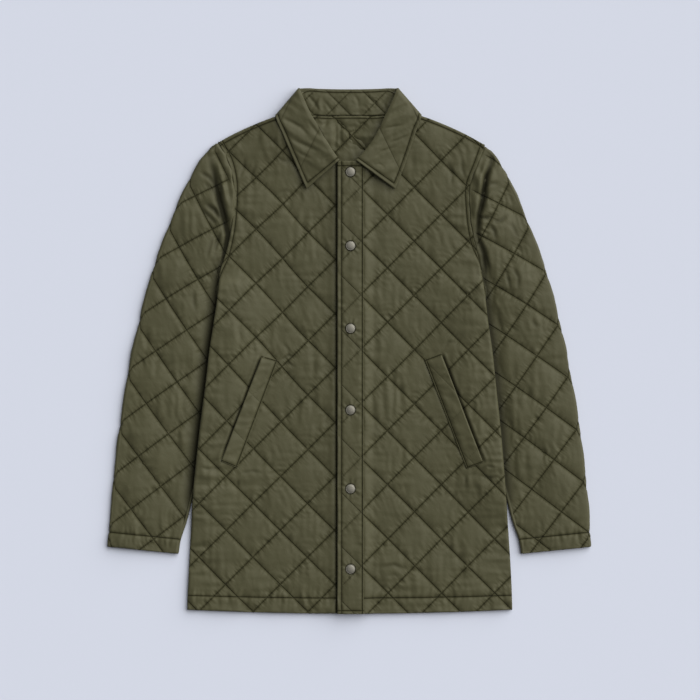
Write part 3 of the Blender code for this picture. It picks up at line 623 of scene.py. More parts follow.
# Rings from the armhole to the cuff: the outer fold's x and y, the inner fold's y, how far that
# fold is tucked under the body, how much of the armhole's curve the ring keeps, and its puff.
SLEEVE = np.array([
    (0.2133, 0.3285, 0.1260, -0.0010, 1.00, 0.0), (0.2268, 0.3196, 0.1210, -0.0010, 0.92, 1.3),
    (0.2456, 0.2923, 0.1110, -0.0010, 0.75, 1.3), (0.2664, 0.2539, 0.1010, -0.0010, 0.50, 1.3),
    (0.2880, 0.2027, 0.0960, -0.0010, 0.25, 0.8), (0.3072, 0.1515, 0.0840, 0.0020, 0.08, 1.0),
    (0.3232, 0.1003, 0.0600, 0.0100, 0.0, 1.0), (0.3360, 0.0491, 0.0250, 0.0190, 0.0, 0.9),
    (0.3480, -0.0021, -0.0220, 0.0260, 0.0, 0.7), (0.3576, -0.0533, -0.0720, 0.0260, 0.0, 1.0),
    (0.3656, -0.1045, -0.1220, 0.0190, 0.0, 0.8), (0.3728, -0.1557, -0.1720, 0.0110, 0.0, 1.0),
    (0.3784, -0.2069, -0.2220, 0.0020, 0.0, 0.9), (0.3832, -0.2581, -0.2710, -0.0070, 0.0, 0.8),
    (0.3856, -0.2890, -0.3010, -0.0152, 0.0, 0.5), (0.3868, -0.3134, -0.3248, -0.0178, 0.0, 0.4),
])
# The sleeve's middle line passes through this point and leans outwards by these angles along it.
SLEEVE_MIDDLE = (0.245, 0.240)
SLEEVE_LEANS = [(0, 18.7), (0.1, 15.2), (0.2, 11.3), (0.3, 10.1), (0.4, 8.3), (0.6, 8.2)]
# A crossing of its lines of stitching, along and across the sleeve, and the pitch of its diamonds.
SLEEVE_START = {RIGHT: (0.1216, -0.0387, 0.0602), LEFT: (0.0025, -0.0076, 0.0595)}
# Its folds: path, depth and width. Those with a depth below nothing are ridges.
SLEEVE_CREASES = {
    RIGHT: [
        ([(-0.2220, 0.3100), (-0.2175, 0.2900), (-0.2134, 0.2730), (-0.2080, 0.2410), (-0.1985, 0.2090),
          (-0.1930, 0.1850), (-0.1985, 0.1550), (-0.2045, 0.1320), (-0.2100, 0.1050)], 0.0072, 0.0056),
        ([(-0.2110, 0.3060), (-0.2040, 0.2760), (-0.1970, 0.2440), (-0.1930, 0.2250)], -0.0030, 0.0045),
        ([(-0.237, 0.284), (-0.2245, 0.277), (-0.217, 0.266)], 0.0025, 0.0034),
        ([(-0.232, 0.268), (-0.222, 0.260), (-0.215, 0.250)], 0.0016, 0.0034),
        ([(-0.230, 0.234), (-0.216, 0.225), (-0.2055, 0.209)], 0.0037, 0.0039),
        ([(-0.237, 0.228), (-0.2245, 0.214), (-0.212, 0.202)], 0.0025, 0.0034),
        ([(-0.216, 0.157), (-0.2105, 0.178), (-0.206, 0.190)], 0.0025, 0.0036),
        ([(-0.228, 0.150), (-0.2215, 0.170), (-0.216, 0.184)], 0.0016, 0.0036),
        ([(-0.2500, 0.0980), (-0.2480, 0.0760), (-0.2460, 0.0620)], 0.0016, 0.0039),
        ([(-0.2230, -0.0280), (-0.2300, 0.0020), (-0.2240, 0.0280)], 0.0016, 0.0045),
    ],
    LEFT: [
        ([(0.230, 0.315), (0.2255, 0.295), (0.218, 0.278), (0.2145, 0.258), (0.2135, 0.241),
          (0.207, 0.217), (0.205, 0.194), (0.2035, 0.172)], 0.0068, 0.0048),
        ([(0.206, 0.180), (0.2145, 0.155), (0.218, 0.133), (0.218, 0.108)], 0.0052, 0.0050),
        ([(0.219, 0.310), (0.211, 0.280), (0.207, 0.245)], -0.0026, 0.0045),
        ([(0.216, 0.262), (0.226, 0.266), (0.237, 0.268)], 0.0018, 0.0031),
        ([(0.2077, 0.212), (0.2195, 0.212), (0.228, 0.217)], 0.0034, 0.0031),
        ([(0.2296, 0.205), (0.2413, 0.207), (0.2515, 0.2155)], 0.0025, 0.0034),
        ([(0.2245, 0.200), (0.2312, 0.190), (0.233, 0.177)], 0.0022, 0.0031),
        ([(0.252, 0.205), (0.262, 0.196), (0.268, 0.182)], 0.0014, 0.0039),
        ([(0.2500, 0.128), (0.2540, 0.112), (0.2565, 0.098)], 0.0017, 0.0031),
        ([(0.2630, 0.130), (0.2700, 0.116), (0.2680, 0.098)], 0.0017, 0.0034),
        ([(0.2340, 0.062), (0.2400, 0.042), (0.2360, 0.020)], 0.0016, 0.0039),
        ([(0.2900, 0.050), (0.2980, 0.040), (0.3060, 0.038)], 0.0014, 0.0040),
    ],
}


# The angles of the points round the inner fold and the outer one.
INNER_TURNS = (60, 30, 0, -30, -60)
OUTER_TURNS = (-60, -40, -20, 0, 20, 40, 60)


def sleeve_lattice(side, x, y, extra):
    """Counts the lines of stitching along and across a bent sleeve."""
    along = np.arange(-0.14, 0.66, 0.004)
    lean = np.radians(curve(along, *np.array(SLEEVE_LEANS).T))
    line = np.cumsum(np.stack([np.sin(lean), -np.cos(lean)], 1) * 0.004, axis=0)
    line += np.array(SLEEVE_MIDDLE) - line[np.argmin(abs(along))]
    points = np.stack([abs(x), y], -1).reshape(-1, 1, 2)
    nearest = ((points - line[None]) ** 2).sum(-1).argmin(1)
    off = points[:, 0] - line[nearest]
    sine, cosine = np.sin(lean[nearest]), np.cos(lean[nearest])
    s = (along[nearest] + off[:, 0] * sine - off[:, 1] * cosine).reshape(x.shape)
    t = (off[:, 0] * cosine + off[:, 1] * sine).reshape(x.shape) + extra
    start_s, start_t, pitch = SLEEVE_START[side]
    reach = pitch * 2**0.5
    return ((s - start_s) + (t - start_t)) / reach, ((s - start_s) - (t - start_t)) / reach


def sleeve_plan(side):
    """Where the points of each ring lie in plan, from the outer fold to the inner one.

    Besides them it gives their shares of the way across, and each ring's bend and puff.
    """
    ring = np.concatenate([np.linspace(0, 14.4, 272), 15 - EDGE_STATIONS[::-1] / 0.024])
    ring = np.sort(np.concatenate([ring, np.linspace(14.4, 14.8, 8)[1:]]))[:, None]
    keys = np.arange(len(SLEEVE))
    out_x, out_y, in_y, tuck, bend, puff = (curve(ring, keys, column) for column in SLEEVE.T)
    bend = np.clip(bend, 0, 1)
    share = stations(0.17, 0.00185)
    # The armhole's curve, as offsets from the straight line between its ends.
    hole_x = side_edge(side, TIP_Y + (UNDERARM_Y - TIP_Y) * share)
    bow = hole_x - (hole_x[0] + (hole_x[-1] - hole_x[0]) * share)
    first = np.clip(1 - ring, 0, 1)
    start_x = out_x * (1 - first) + (hole_x[0] + 0.001) * first
    start_y = out_y + (shoulder_y(hole_x[0]) - TIP_Y + HEAD_RISE) * first
    end_x = side_edge(side, in_y) - tuck
    # Its edge is sewn in under the body's strip, so the first rows reach a little way in there.
    px = start_x + (end_x - start_x) * share + bend * bow
    px = px - 0.0045 * ramp(ring, 0.8, 0.0) * (0.2 + 0.8 * ramp(share, 0.0, 0.1))
    py = start_y + (in_y - start_y) * share
    # The flat runs stop a radius short of the folds, which are half rounds.
    for edge, beside in ((0, 8), (-1, -9)):
        run = np.hypot(px[:, edge] - px[:, beside], py[:, edge] - py[:, beside])
        pull = np.clip(1 - abs(share - share[edge]) / abs(share[beside] - share[edge]), 0, 1)
        move = (FLAT_SLEEVE / 2 / run)[:, None] * pull
        px = px + move * (px[:, beside] - px[:, edge])[:, None]
        py = py + move * (py[:, beside] - py[:, edge])[:, None]
    return px, py, share, bend, puff


def sleeve_middle(side):
    """The middle of the tube's wall, ring by ring, its normals, and how many columns are on top."""
    px, py, share, bend, puff = sleeve_plan(side)
    flat_from = 0.78 + 0.22 * ramp(bend, 0.0, 0.3)
    bulge = np.where(share < flat_from, np.sin(pi * np.clip(share / flat_from, 0, 1)) ** 1.3, 0)
    top_z = FLAT_SLEEVE - WALL / 2 + 0.0030 * puff * bulge
    few = np.arange(0, len(share), 2)[::-1]
    radius = FLAT_SLEEVE / 2
    mid = radius - WALL / 2
    grids = [vectors(px, py, top_z)]
    for edge, beside, turns in ((-1, -9, INNER_TURNS), (0, 8, OUTER_TURNS)):
        away = np.stack([px[:, edge] - px[:, beside], py[:, edge] - py[:, beside]], -1)
        away /= np.linalg.norm(away, axis=1, keepdims=True)
        turn = np.radians(turns)
        cap = [
            px[:, edge, None] + away[:, :1] * mid * np.cos(turn),
            py[:, edge, None] + away[:, 1:] * mid * np.cos(turn),
            radius + mid * np.sin(turn) + 0 * px[:, :1],
        ]
        grids.append(vectors(*cap))
        if edge == -1:
            grids.append(vectors(px[:, few], py[:, few], WALL / 2))
    middle = np.concatenate(grids, axis=1)
    around = np.roll(middle, -1, 1) - np.roll(middle, 1, 1)
    normal = np.cross(np.gradient(middle, axis=0), around)
    normal /= np.linalg.norm(normal, axis=2, keepdims=True)
    normal *= np.sign(normal[:, 20:21, 2:3])
    return middle, normal, len(share)


def sleeve(side, name, seed):
    """A flattened tube: over the top, round the inner fold, underneath, and round the outer one."""
    middle, normal, top_count = sleeve_middle(side)
    x, y, z = middle[..., 0], middle[..., 1], middle[..., 2]
    count, radius = middle.shape[1], FLAT_SLEEVE / 2
    column = np.arange(count)[None, :]
    seam_column = top_count + len(INNER_TURNS) // 2  # the seam runs along the inner fold
    outer_fold = column >= count - len(OUTER_TURNS)
    # The lines of stitching go on evenly round the outer fold and back underneath.
    extra = 0.0045 * ramp(column, 6, 0) + 0 * x
    from_outer = np.hypot(x - x[:, :1], y - y[:, :1])
    extra = np.where(column >= seam_column, 0.0045 + pi * radius + 2 * from_outer, extra)
    turn = np.radians(20.0 * (column - count + 4))
    round_fold = 0.0045 + radius * (pi / 2 - turn) - (radius - WALL / 2) * np.cos(turn)
    extra = np.where(outer_fold, round_fold, extra)
    u, v = sleeve_lattice(side, x, y, extra)
    relief = quilted(u, v, side * x, y, seed, puff=0.0036, run=0.0105)
    relief *= 0.45 + 0.55 * ramp(from_outer, 0.0, 0.018)
    # The quilting is lost in the gathered head, between its deep fold and the armhole.
    from_armhole = np.hypot(x - x[:1], y - y[:1])
    lost = ramp(from_armhole, 0.018, 0.006) * ramp(y, 0.140, 0.180)
    relief *= 1 - 0.9 * lost
    from_cuff = np.hypot(x - x[-1:], y - y[-1:])
    cuff = from_cuff - CUFF_STITCH
    relief = stitched(relief, cuff, abs(x), seed + 31, depth=0.0013, pucker=0.0018, pinch=0.0100)
    folds = creased(side * x, y, SLEEVE_CREASES[side])
    relief = relief + folds
    # Painted shade in the folds, darkest in the deepest.
    painted_shade = 0.80 * np.clip(-folds / 0.0052, 0, 1) ** 1.2
    # The sleeve's head is eased into the armhole, and its cloth crinkles there.
    head = ramp(from_armhole, 0.070, 0.015) * ramp(y, 0.10, 0.16)
    relief += 0.0022 * head * noise(x, 0.6 * y, 0.0095, seed + 33)
    relief += 0.0012 * noise(x, y, 0.040, seed + 35) * ramp(from_armhole, 0.0, 0.02)
    relief -= 0.0020 * ramp(from_armhole, 0.0060, 0.0030)
    # It dips beside the body's edge, which lies on it, and a band of painted shadow lies there, darker
    # on the right sleeve.
    body_edge = side_edge(side, np.clip(y, HEM_Y, UNDERARM_Y))
    beside = ramp(y, -0.290, -0.220) * ramp(y, 0.170, 0.110)
    relief -= 0.0046 * beside * ramp(abs(x) - body_edge, 0.026, 0.002)
    painted_shadow_darkest = 0.86 if side == RIGHT else 0.76
    painted_shade = np.maximum(painted_shade, painted_shadow_darkest * beside * ramp(abs(x) - body_edge, 0.020, -0.001) ** 1.4)
    covered = ramp(body_edge + 0.004 - abs(side * x), 0.0, 0.006) * (y < UNDERARM_Y)
    relief = relief * (1 - covered) - 0.0006 * covered
    # However deep a fold is, the upper wall stays clear of the lower one.
    deepest = 0.0033 - np.maximum(z, FLAT_SLEEVE - WALL / 2)
    past = relief / deepest - 0.6
    relief = np.where(past > 0, deepest * (0.6 + 0.4 * np.tanh(past / 0.4)), relief)
    # Underneath it lies flat on the ground, but for the lines of stitching; the seam is plain.
    upper = (column < top_count) | outer_fold
    relief = np.where(upper, relief, np.minimum(relief, 0) * 0.8)
    seam_fold = np.exp(-(((column - seam_column) / 3.5) ** 2))
    relief = relief * (1 - seam_fold)
    thick = rounded(from_cuff, 0.0019)[..., None] * WALL / 2
    outside = middle + normal * (thick + relief[..., None] * ramp(from_cuff, -0.0005, 0.003)[..., None])
    outside[..., 2] = np.maximum(outside[..., 2], 0.0)
    inside = middle - normal * (thick - np.minimum(relief + 0.0030, 0)[..., None])
    inside[..., 2] = np.maximum(inside[..., 2], 0.0002)
    sign = np.array([side, 1.0, 1.0])
    tube = shell(
        name,
        outside * sign,
        inside * sign,
        olive_nylon,
        vectors(u, v, (abs(column - seam_column) > 3) * (1 - lost)),
        vectors(cuff, 1.0, 1.0),
        stride=4,
        closed=True,
        painted_shade=painted_shade * upper,
    )
    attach(tube, "root")
    return tube


sleeve_right = sleeve(RIGHT, "sleeve_right_cloth", 300)
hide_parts("sleeve_right")
sleeve_left = sleeve(LEFT, "sleeve_left_cloth", 400)
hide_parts("sleeve_left")

# ---------------------------------------------------------------- the collar
# Two bands of the same cloth. The stand rises from the neck seam and the fall turns down over it:
# two pointed leaves on the fronts, folded at the sides to run on behind the neck.

# Lines across each leaf: a point on the roll and one on the outer edge, then their heights.
LEAVES = {
    RIGHT: [
        (-0.0154, 0.3045, -0.0686, 0.2579, 0.0172, 0.0100),
        (-0.0250, 0.3175, -0.0790, 0.2815, 0.0170, 0.0102),
        (-0.0360, 0.3350, -0.0885, 0.3035, 0.0168, 0.0110),
        (-0.0480, 0.3570, -0.0985, 0.3265, 0.0166, 0.0124),
        (-0.0605, 0.3765, -0.1085, 0.3500, 0.0165, 0.0136),
        (-0.0750, 0.4080, -0.1158, 0.3660, 0.0165, 0.0140),
    ],
    LEFT: [
        (0.0100, 0.3038, 0.0730, 0.2579, 0.0180, 0.0102),
        (0.0240, 0.3185, 0.0830, 0.2815, 0.0174, 0.0104),
        (0.0370, 0.3360, 0.0910, 0.3035, 0.0170, 0.0110),
        (0.0480, 0.3560, 0.0990, 0.3265, 0.0166, 0.0124),
        (0.0573, 0.3765, 0.1065, 0.3500, 0.0165, 0.0136),
        (0.0718, 0.4080, 0.1130, 0.3665, 0.0165, 0.0140),
    ],
}
# Where each band turns round at the sides: a point on the roll and one on its lower edge.
FALL_FOLD = {RIGHT: [(-0.0808, 0.4202), (-0.1195, 0.3749)], LEFT: [(0.0775, 0.4202), (0.1162, 0.3758)]}
STAND_FOLD = {RIGHT: [(-0.0762, 0.4140), (-0.0900, 0.3915)], LEFT: [(0.0730, 0.4140), (0.0905, 0.3915)]}
STAND_FRONT_Z = {RIGHT: 0.0106, LEFT: 0.0116}
STAND_BACK_Z = FALL_LIFT + COLLAR_WALL / 2
STAND_DROP = 0.0026  # how far below the roll the stand's upper edge lies, behind the neck
FRONT_SEAM = [
    (0.0235, 0.3034), (0.0400, 0.3130), (0.0500, 0.3215), (0.0680, 0.3430), (0.0800, 0.3640),
    (0.0880, 0.3870),
]
FOLD_RUN = 0.0100  # how far inside a side fold the band behind the neck lies flat


def roll_y(x):
    """The roll behind the neck, which sags a little in its middle."""
    return 0.4202 - 0.0022 * (1 - min(abs(x) / 0.0775, 1) ** 2)


def fall_edge_y(x):
    """The fall's edge behind the neck, hidden under the back."""
    return 0.358 + 0.0125 * (x / 0.1162) ** 2


def fold_lines(front, fold, back):
    """Lines across a band as it turns round its side fold, from its front layer to its back one."""
    run = np.subtract((*fold[1], 0), (*fold[0], 0))
    outward = np.cross(run, (0, 0, 1)) / np.linalg.norm(run)
    outward *= np.sign(outward[0] * fold[1][0]) * COLLAR_WALL / 2
    lines = []
    for turn in np.array([0.5, 0.36, 0.2, 0.0, -0.2, -0.36, -0.5]) * pi:
        out, up = [np.sign(a) * abs(a) ** 0.6 for a in (np.cos(turn), np.sin(turn))]
        line = []
        for high, side, low in zip(front, fold, back):
            flat = np.array(high if turn > 0 else low)
            spot = flat + (np.array((*side, 0.0)) - outward - flat) * out
            spot[2] = (high[2] + low[2]) / 2 + (high[2] - low[2]) / 2 * up
            line.append(spot)
        lines.append(line)
    return lines


def half_fall(side):
    """The fall's lines on one side, from its front end to the middle behind the neck."""
    half = COLLAR_WALL / 2
    front = [[(a[0], a[1], a[4] + half), (a[2], a[3], a[5] + half)] for a in LEAVES[side]]
    back = []
    for share in (1.0, 0.7, 0.35):
        x = (abs(FALL_FOLD[side][0][0]) - FOLD_RUN) * share * side
        edge_x = (abs(FALL_FOLD[side][1][0]) - FOLD_RUN) * share * side
        back.append([(x, roll_y(x), half), (edge_x, fall_edge_y(edge_x), half)])
    return front[:-1] + fold_lines(front[-1], FALL_FOLD[side], back[0]) + back[1:]


def half_stand(side):
    """The stand's lines on one side: under the leaf's roll, then behind the neck."""
    front = []
    for leaf, seam in zip(LEAVES[side], FRONT_SEAM):
        roll = (leaf[0] + side * 0.0012, leaf[1] - 0.0008, STAND_FRONT_Z[side])
        front.append([roll, (side * (seam[0] - 0.0016), seam[1] + 0.0008, STAND_FRONT_Z[side])])
    back = []
    for share, seam in ((1.0, (0.0740, 0.3790)), (0.6, (0.0500, 0.3756))):
        x = (abs(STAND_FOLD[side][0][0]) - FOLD_RUN) * share * side
        foot = (side * seam[0], seam[1] + 0.0008, STAND_BACK_Z)
        back.append([(x, roll_y(x) - STAND_DROP, STAND_BACK_Z), foot])
    return front[:-1] + fold_lines(front[-1], STAND_FOLD[side], back[0]) + back[1:]


def band_grid(lines, spacing):
    """A fine grid on the smooth surface through lines across a band.

    With it come its normals and the distances from the roll, the outer edge and the nearer end.
    """
    ends = np.array([[np.array(point, dtype=float) for point in line] for line in lines])
    lengths = np.linalg.norm(np.diff(ends, axis=0), axis=2).mean(axis=1)
    keys = np.concatenate([[0], np.cumsum(lengths)])
    along = stations(keys[-1], spacing) * keys[-1]
    fine_ends = np.stack([[curve(along, keys, ends[:, e, c]) for c in range(3)] for e in (0, 1)], 0)
    fine_ends = fine_ends.transpose(2, 0, 1)
    width = np.linalg.norm(fine_ends[:, 1] - fine_ends[:, 0], axis=1)
    across = stations(width.mean(), spacing)
    grid = fine_ends[:, :1] * (1 - across)[None, :, None] + fine_ends[:, 1:] * across[None, :, None]
    normal = np.cross(np.gradient(grid, axis=0), np.gradient(grid, axis=1))
    normal /= np.linalg.norm(normal, axis=2, keepdims=True)
    from_roll = across[None, :] * width[:, None]
    from_edge = (1 - across)[None, :] * width[:, None]
    from_end = np.minimum(along, keys[-1] - along)[:, None] + 0 * from_roll
    return grid, normal, from_roll, from_edge, from_end


# The stand, which shows inside the neck: crinkled between its dense stitching and the neck seam.
stand_middle = [(0, roll_y(0) - STAND_DROP, STAND_BACK_Z), (0, 0.3760, STAND_BACK_Z)]
lines = half_stand(RIGHT) + [stand_middle] + half_stand(LEFT)[::-1]
grid, normal, from_roll, from_edge, from_end = band_grid(lines, 0.0013)
normal *= np.sign(normal[len(normal) // 2, 10, 2])
x, y = grid[..., 0], grid[..., 1]
u, v = lattice(x, y, (-0.0165, 0.3960), (0.0290, 0.0290), 41)
relief = quilted(u, v, x, y, 40, puff=0.0013, pucker=0.0006, run=0.006)
relief += 0.0009 * noise(x, 0.4 * y, 0.0095, 43) + 0.0003 * noise(x, y, 0.0055, 44)
relief += creased(x, y, [
    ([(-0.0660, 0.4080), (-0.0560, 0.3960), (-0.0480, 0.3830)], 0.0020, 0.0030),
    ([(-0.0480, 0.4080), (-0.0560, 0.3930), (-0.0620, 0.3850)], 0.0016, 0.0028),
    ([(-0.0400, 0.3990), (-0.0320, 0.3880), (-0.0230, 0.3800)], 0.0012, 0.0026),
    ([(0.0060, 0.4120), (0.0130, 0.4000), (0.0150, 0.3880)], 0.0011, 0.0028),
    ([(0.0280, 0.4100), (0.0360, 0.4000), (0.0450, 0.3930)], 0.0012, 0.0026),
    ([(0.0630, 0.4070), (0.0560, 0.3960), (0.0580, 0.3850)], 0.0018, 0.0030),
])
seam = from_roll - 0.0030
relief = stitched(relief, seam, x, 45, depth=0.0006)
# The relief is only where the stand shows: behind the neck, between the side folds.
shown = np.where(normal[..., 2] > 0.9, ramp(abs(x) - 0.10 * (y - 0.376), 0.074, 0.066), 0.0)
in_back = ramp(grid[..., 2], 0.0085, 0.0070)
relief = relief * shown * in_back
thick = rounded(least(from_roll, from_edge, from_end), 0.0016)[..., None] * COLLAR_WALL / 2
stand = shell(
    "collar_stand_cloth",
    grid + normal * (thick + relief[..., None]),
    grid - normal * thick,
    olive_nylon,
    vectors(u, v, 0.65 * in_back),
    vectors(np.where(in_back > 0.5, seam, 1.0), 1.0, 1.0),
)
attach(stand, "root")
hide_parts("collar_stand")

# The fall: its free edges are topstitched, and its leaves only faintly quilted, with soft folds.
LEAF_CREASES = [
    ([(-0.1060, 0.3710), (-0.0782, 0.3562), (-0.0640, 0.3425)], 0.0025, 0.0037),
    ([(-0.0985, 0.3400), (-0.0701, 0.3269), (-0.0456, 0.3170)], 0.0019, 0.0036),
    ([(-0.0651, 0.3640), (-0.0520, 0.3480), (-0.0406, 0.3350)], 0.0013, 0.0032),
    ([(-0.0900, 0.3230), (-0.0760, 0.3130), (-0.0600, 0.3060)], 0.0011, 0.0029),
    ([(-0.0420, 0.3060), (-0.0330, 0.3100), (-0.0260, 0.3160)], 0.0009, 0.0017),
    ([(0.0560, 0.3545), (0.0700, 0.3570), (0.0880, 0.3600)], 0.0013, 0.0022),
    ([(0.0640, 0.3310), (0.0800, 0.3370), (0.0980, 0.3450)], 0.0015, 0.0022),
    ([(0.0410, 0.3072), (0.0540, 0.3187), (0.0736, 0.3252)], 0.0015, 0.0020),
    ([(0.0440, 0.3260), (0.0520, 0.3290), (0.0600, 0.3360)], 0.0009, 0.0019),
    ([(0.0600, 0.2960), (0.0720, 0.3000), (0.0830, 0.3080)], 0.0009, 0.0022),
    ([(0.0380, 0.2960), (0.0480, 0.2980), (0.0560, 0.2930)], 0.0008, 0.0017),
]
fall_middle = [(0, roll_y(0), COLLAR_WALL / 2), (0, fall_edge_y(0), COLLAR_WALL / 2)]
lines = half_fall(RIGHT) + [fall_middle] + half_fall(LEFT)[::-1]
grid, normal, from_roll, from_edge, from_end = band_grid(lines, 0.0015)
normal *= np.sign(normal[20, 10, 2])
x, y = grid[..., 0], grid[..., 1]
# One steep line of stitching shows faintly on each leaf, mirrored; v keeps off the other lines.
lean = np.array((0.44, 0.90)) / np.hypot(0.44, 0.90)
u = ((abs(x) - 0.0585) * lean[1] + (y - 0.3330) * lean[0]) / PITCH
v = 0.5 + 0.0 * u
relief = 0.3 * quilted(u, v, x, y, 50) + creased(x, y, LEAF_CREASES)
# Long soft wrinkles run slantwise down each leaf.
bias = np.where(x < 0, x + 1.6 * y, x - 2.2 * y)
relief += 0.0014 * noise(bias, 0.2 * (x - y), 0.017, 52) + 0.0002 * noise(x, y, 0.0055, 53)
seam = np.minimum(from_edge, from_end) - 0.0058
border = ramp(seam, 0.0, -0.0015)
relief = relief * (1 - border) + 0.0003 * border
relief = stitched(relief, seam, x + y, 54, depth=0.0012, pucker=0.0007, pinch=0.003)
on_top = (normal[..., 2] > 0.3) & (grid[..., 2] > 0.008)
relief = relief * on_top
roll_drop = 0.0016 * ramp(from_roll, 0.0060, 0.0) * on_top
thick = rounded(least(from_roll, from_edge, from_end), 0.0017)[..., None] * COLLAR_WALL / 2
high = grid + normal * (thick + relief[..., None])
low = grid - normal * thick
high[..., 2] -= roll_drop
low[..., 2] = np.maximum(low[..., 2] - 0.5 * roll_drop, 0.0)
high[..., 2] = np.maximum(high[..., 2], 0.0)
fall = shell(
    "collar_fall_cloth",
    high,
    low,
    olive_nylon,
    vectors(u, v, 0.35 * on_top),
    vectors(np.where(on_top, seam, 1.0), 1.0, 1.0),
)
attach(fall, "root")
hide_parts("collar_fall")

# ---------------------------------------------------------------- the snap placket
# A narrow band of the quilted cloth stitched down over the left front's edge, along both its
# sides and across its ends. The snaps' sockets pull it into small dimples.
PLACKET_WALL = 0.0025
PLACKET_WIDTH = 0.0421
STRIP = 0.0068  # the plain strip beside its open edge, up to the first line of stitching
SNAP_X = 0.0018
SNAP_YS = (0.2854, 0.1675, 0.0355, -0.0946, -0.2203, -0.3485)
x = (FRONT_EDGE_X + PLACKET_WIDTH * stations(PLACKET_WIDTH, 0.00115))[None, :]
row = (HEM_Y + (TIP_Y - HEM_Y) * stations(0.742, 0.0016))[:, None]
neck = np.interp(abs(x), (0.0, 0.0210, 0.0235), (0.3030, 0.3030, 0.3034))
y = row + risen(row) * (neck - TIP_Y) - HEM_DROP * ramp(row, HEM_DROP_START_Y, HEM_Y)
x = x + 0 * y
from_top, from_hem = 0.92 * (TIP_Y - row) + 0 * y, row - HEM_Y + 0 * y
from_left, from_right = x - FRONT_EDGE_X, FRONT_EDGE_X + PLACKET_WIDTH - x
u, v = lattice(x, y, *FRONT_LATTICES[LEFT])
relief = 0.5 * quilted(u, v, x, y, 60)
strip = from_left - STRIP
relief = stitched(relief, strip, y, 61, depth=0.0010, pucker=0.0009, pinch=0.0050)
relief = stitched(relief, from_right - 0.0022, y, 62, depth=0.0009, pucker=0.0011, pinch=0.0070)
# Short slanting puckers run in from both lines of stitching.
slant = noise(y - 0.9 * x, 0.2 * x, 0.0055, 63)
relief += 0.00085 * slant * (np.exp(-abs(strip) / 0.007) + np.exp(-from_right / 0.009))
ends = np.minimum(from_hem - 0.0052, from_top - 0.0075)
relief = stitched(relief, ends, x, 64, depth=0.0007)
relief += 0.00070 * noise(x, 0.5 * y, 0.010, 65)
# Each snap sinks into a dimple with short rays round it, and a ring of painted shade lies round its
# rim.
painted_shade = 0.0 * x
for snap_y in SNAP_YS:
    reach = np.hypot(x - SNAP_X, y - snap_y)
    painted_shade = np.maximum(painted_shade, 0.80 * ramp(reach, 0.0098, 0.0080))
    angle = np.arctan2(y - snap_y, x - SNAP_X)
    relief -= 0.0009 * np.exp(-((reach / 0.0125) ** 2))
    rays = np.sin(7 * angle + 40 * snap_y) + 0.7 * np.sin(11 * angle + 90 * snap_y)
    relief += 0.00045 * rays * np.exp(-(((reach - 0.012) / 0.005) ** 2))
nearest = least(from_left, from_right, from_hem, from_top)
relief = np.maximum(relief, -0.0022) * ramp(nearest, -0.0005, 0.002)
low_z = front_z(x, y) + climb(x) + WALL + GAP
placket = shell(
    "placket_cloth",
    vectors(x, y, low_z + rounded(nearest, 0.0016) * PLACKET_WALL + relief),
    vectors(x, y, low_z - 0.0002),
    olive_nylon,
    vectors(u, v, 0.55 * ramp(strip, 0.0, 0.001)),
    vectors(strip, from_right - 0.0022, ends),
    painted_shade=painted_shade,
)
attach(placket, "root")
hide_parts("placket")

# ---------------------------------------------------------------- the pocket welts
# A narrow double strip of the quilted cloth on each front. Its outer edge is open over a slit;
# the inner edge and both ends are sewn down.
WELT_RISE = 0.0027


def welt(side, name):
    """One welt, between its four corners, on top of its front."""
    top_out, foot_out, top_in, foot_in = WELTS[side]
    length, width = np.linalg.norm(foot_out - top_out), np.linalg.norm(top_in - top_out)
    along, across = stations(length, 0.0015)[:, None], stations(width, 0.0012)[None, :]
    outer = top_out + (foot_out - top_out) * along[..., None]
    inner = top_in + (foot_in - top_in) * along[..., None]
    plan = outer * (1 - across[..., None]) + inner * across[..., None]
    x, y = plan[..., 0], plan[..., 1]
    base = front_z(x, y) + WALL
    crossing, step, seed = FRONT_LATTICES[side]
    u, v = lattice(x, y, crossing, step, seed)
    from_out, from_in = across * width + 0 * x, (1 - across) * width + 0 * x
    from_end = np.minimum(along, 1 - along) * length + 0 * x
    relief = 0.30 * quilted(u, v, x, y, seed) + 0.0011 * noise(0.6 * x, y, 0.0085, seed + 41)
    inner_seam, end_seam = from_in - 0.0024, from_end - 0.0020
    relief = stitched(relief, inner_seam, y, seed + 42, depth=0.0008, pucker=0.0007)
    relief = stitched(relief, end_seam, x, seed + 43, depth=0.0007)
    nearest = least(from_out, from_in, from_end)
    rise = WELT_RISE * (0.55 + 0.45 * ramp(from_in, 0.0, 0.010))
    rise = rise * (0.75 + 0.25 * ramp(from_end, 0, 0.012))
    piece = shell(
        name,
        vectors(x, y, base + rise * rounded(nearest, 0.0018) + relief * ramp(nearest, -0.0005, 0.002)),
        vectors(x, y, base - 0.0006),
        olive_nylon,
        vectors(u, v, 0.18),
        vectors(inner_seam, end_seam, 1.0),
    )
    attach(piece, "root")
    return piece


welt_right = welt(RIGHT, "welt_right_cloth")
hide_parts("welt_right")
welt_left = welt(LEFT, "welt_left_cloth")
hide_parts("welt_left")

# ---------------------------------------------------------------- the snaps
# Six caps of antique nickel, lightly domed inside a rolled rim, each riveted through the placket.
SNAP_PROFILE = [  # radius and height, in millimetres
    (0.0, 2.30), (1.6, 2.26), (3.2, 2.14), (4.6, 1.95), (5.6, 1.74), (6.15, 1.55), (6.4, 1.42),
    (6.6, 1.46), (6.9, 1.52), (7.2, 1.40), (7.4, 1.10), (7.35, 0.70), (7.0, 0.35), (6.6, 0.0),
    (0.0, 0.0),
]
SNAP_SIDES = 48
SNAP_SINK = 0.0005  # how far the cap is pressed into the cloth
SEAT_RADIUS = 0.0085  # the cloth's height is taken this far from a snap's middle


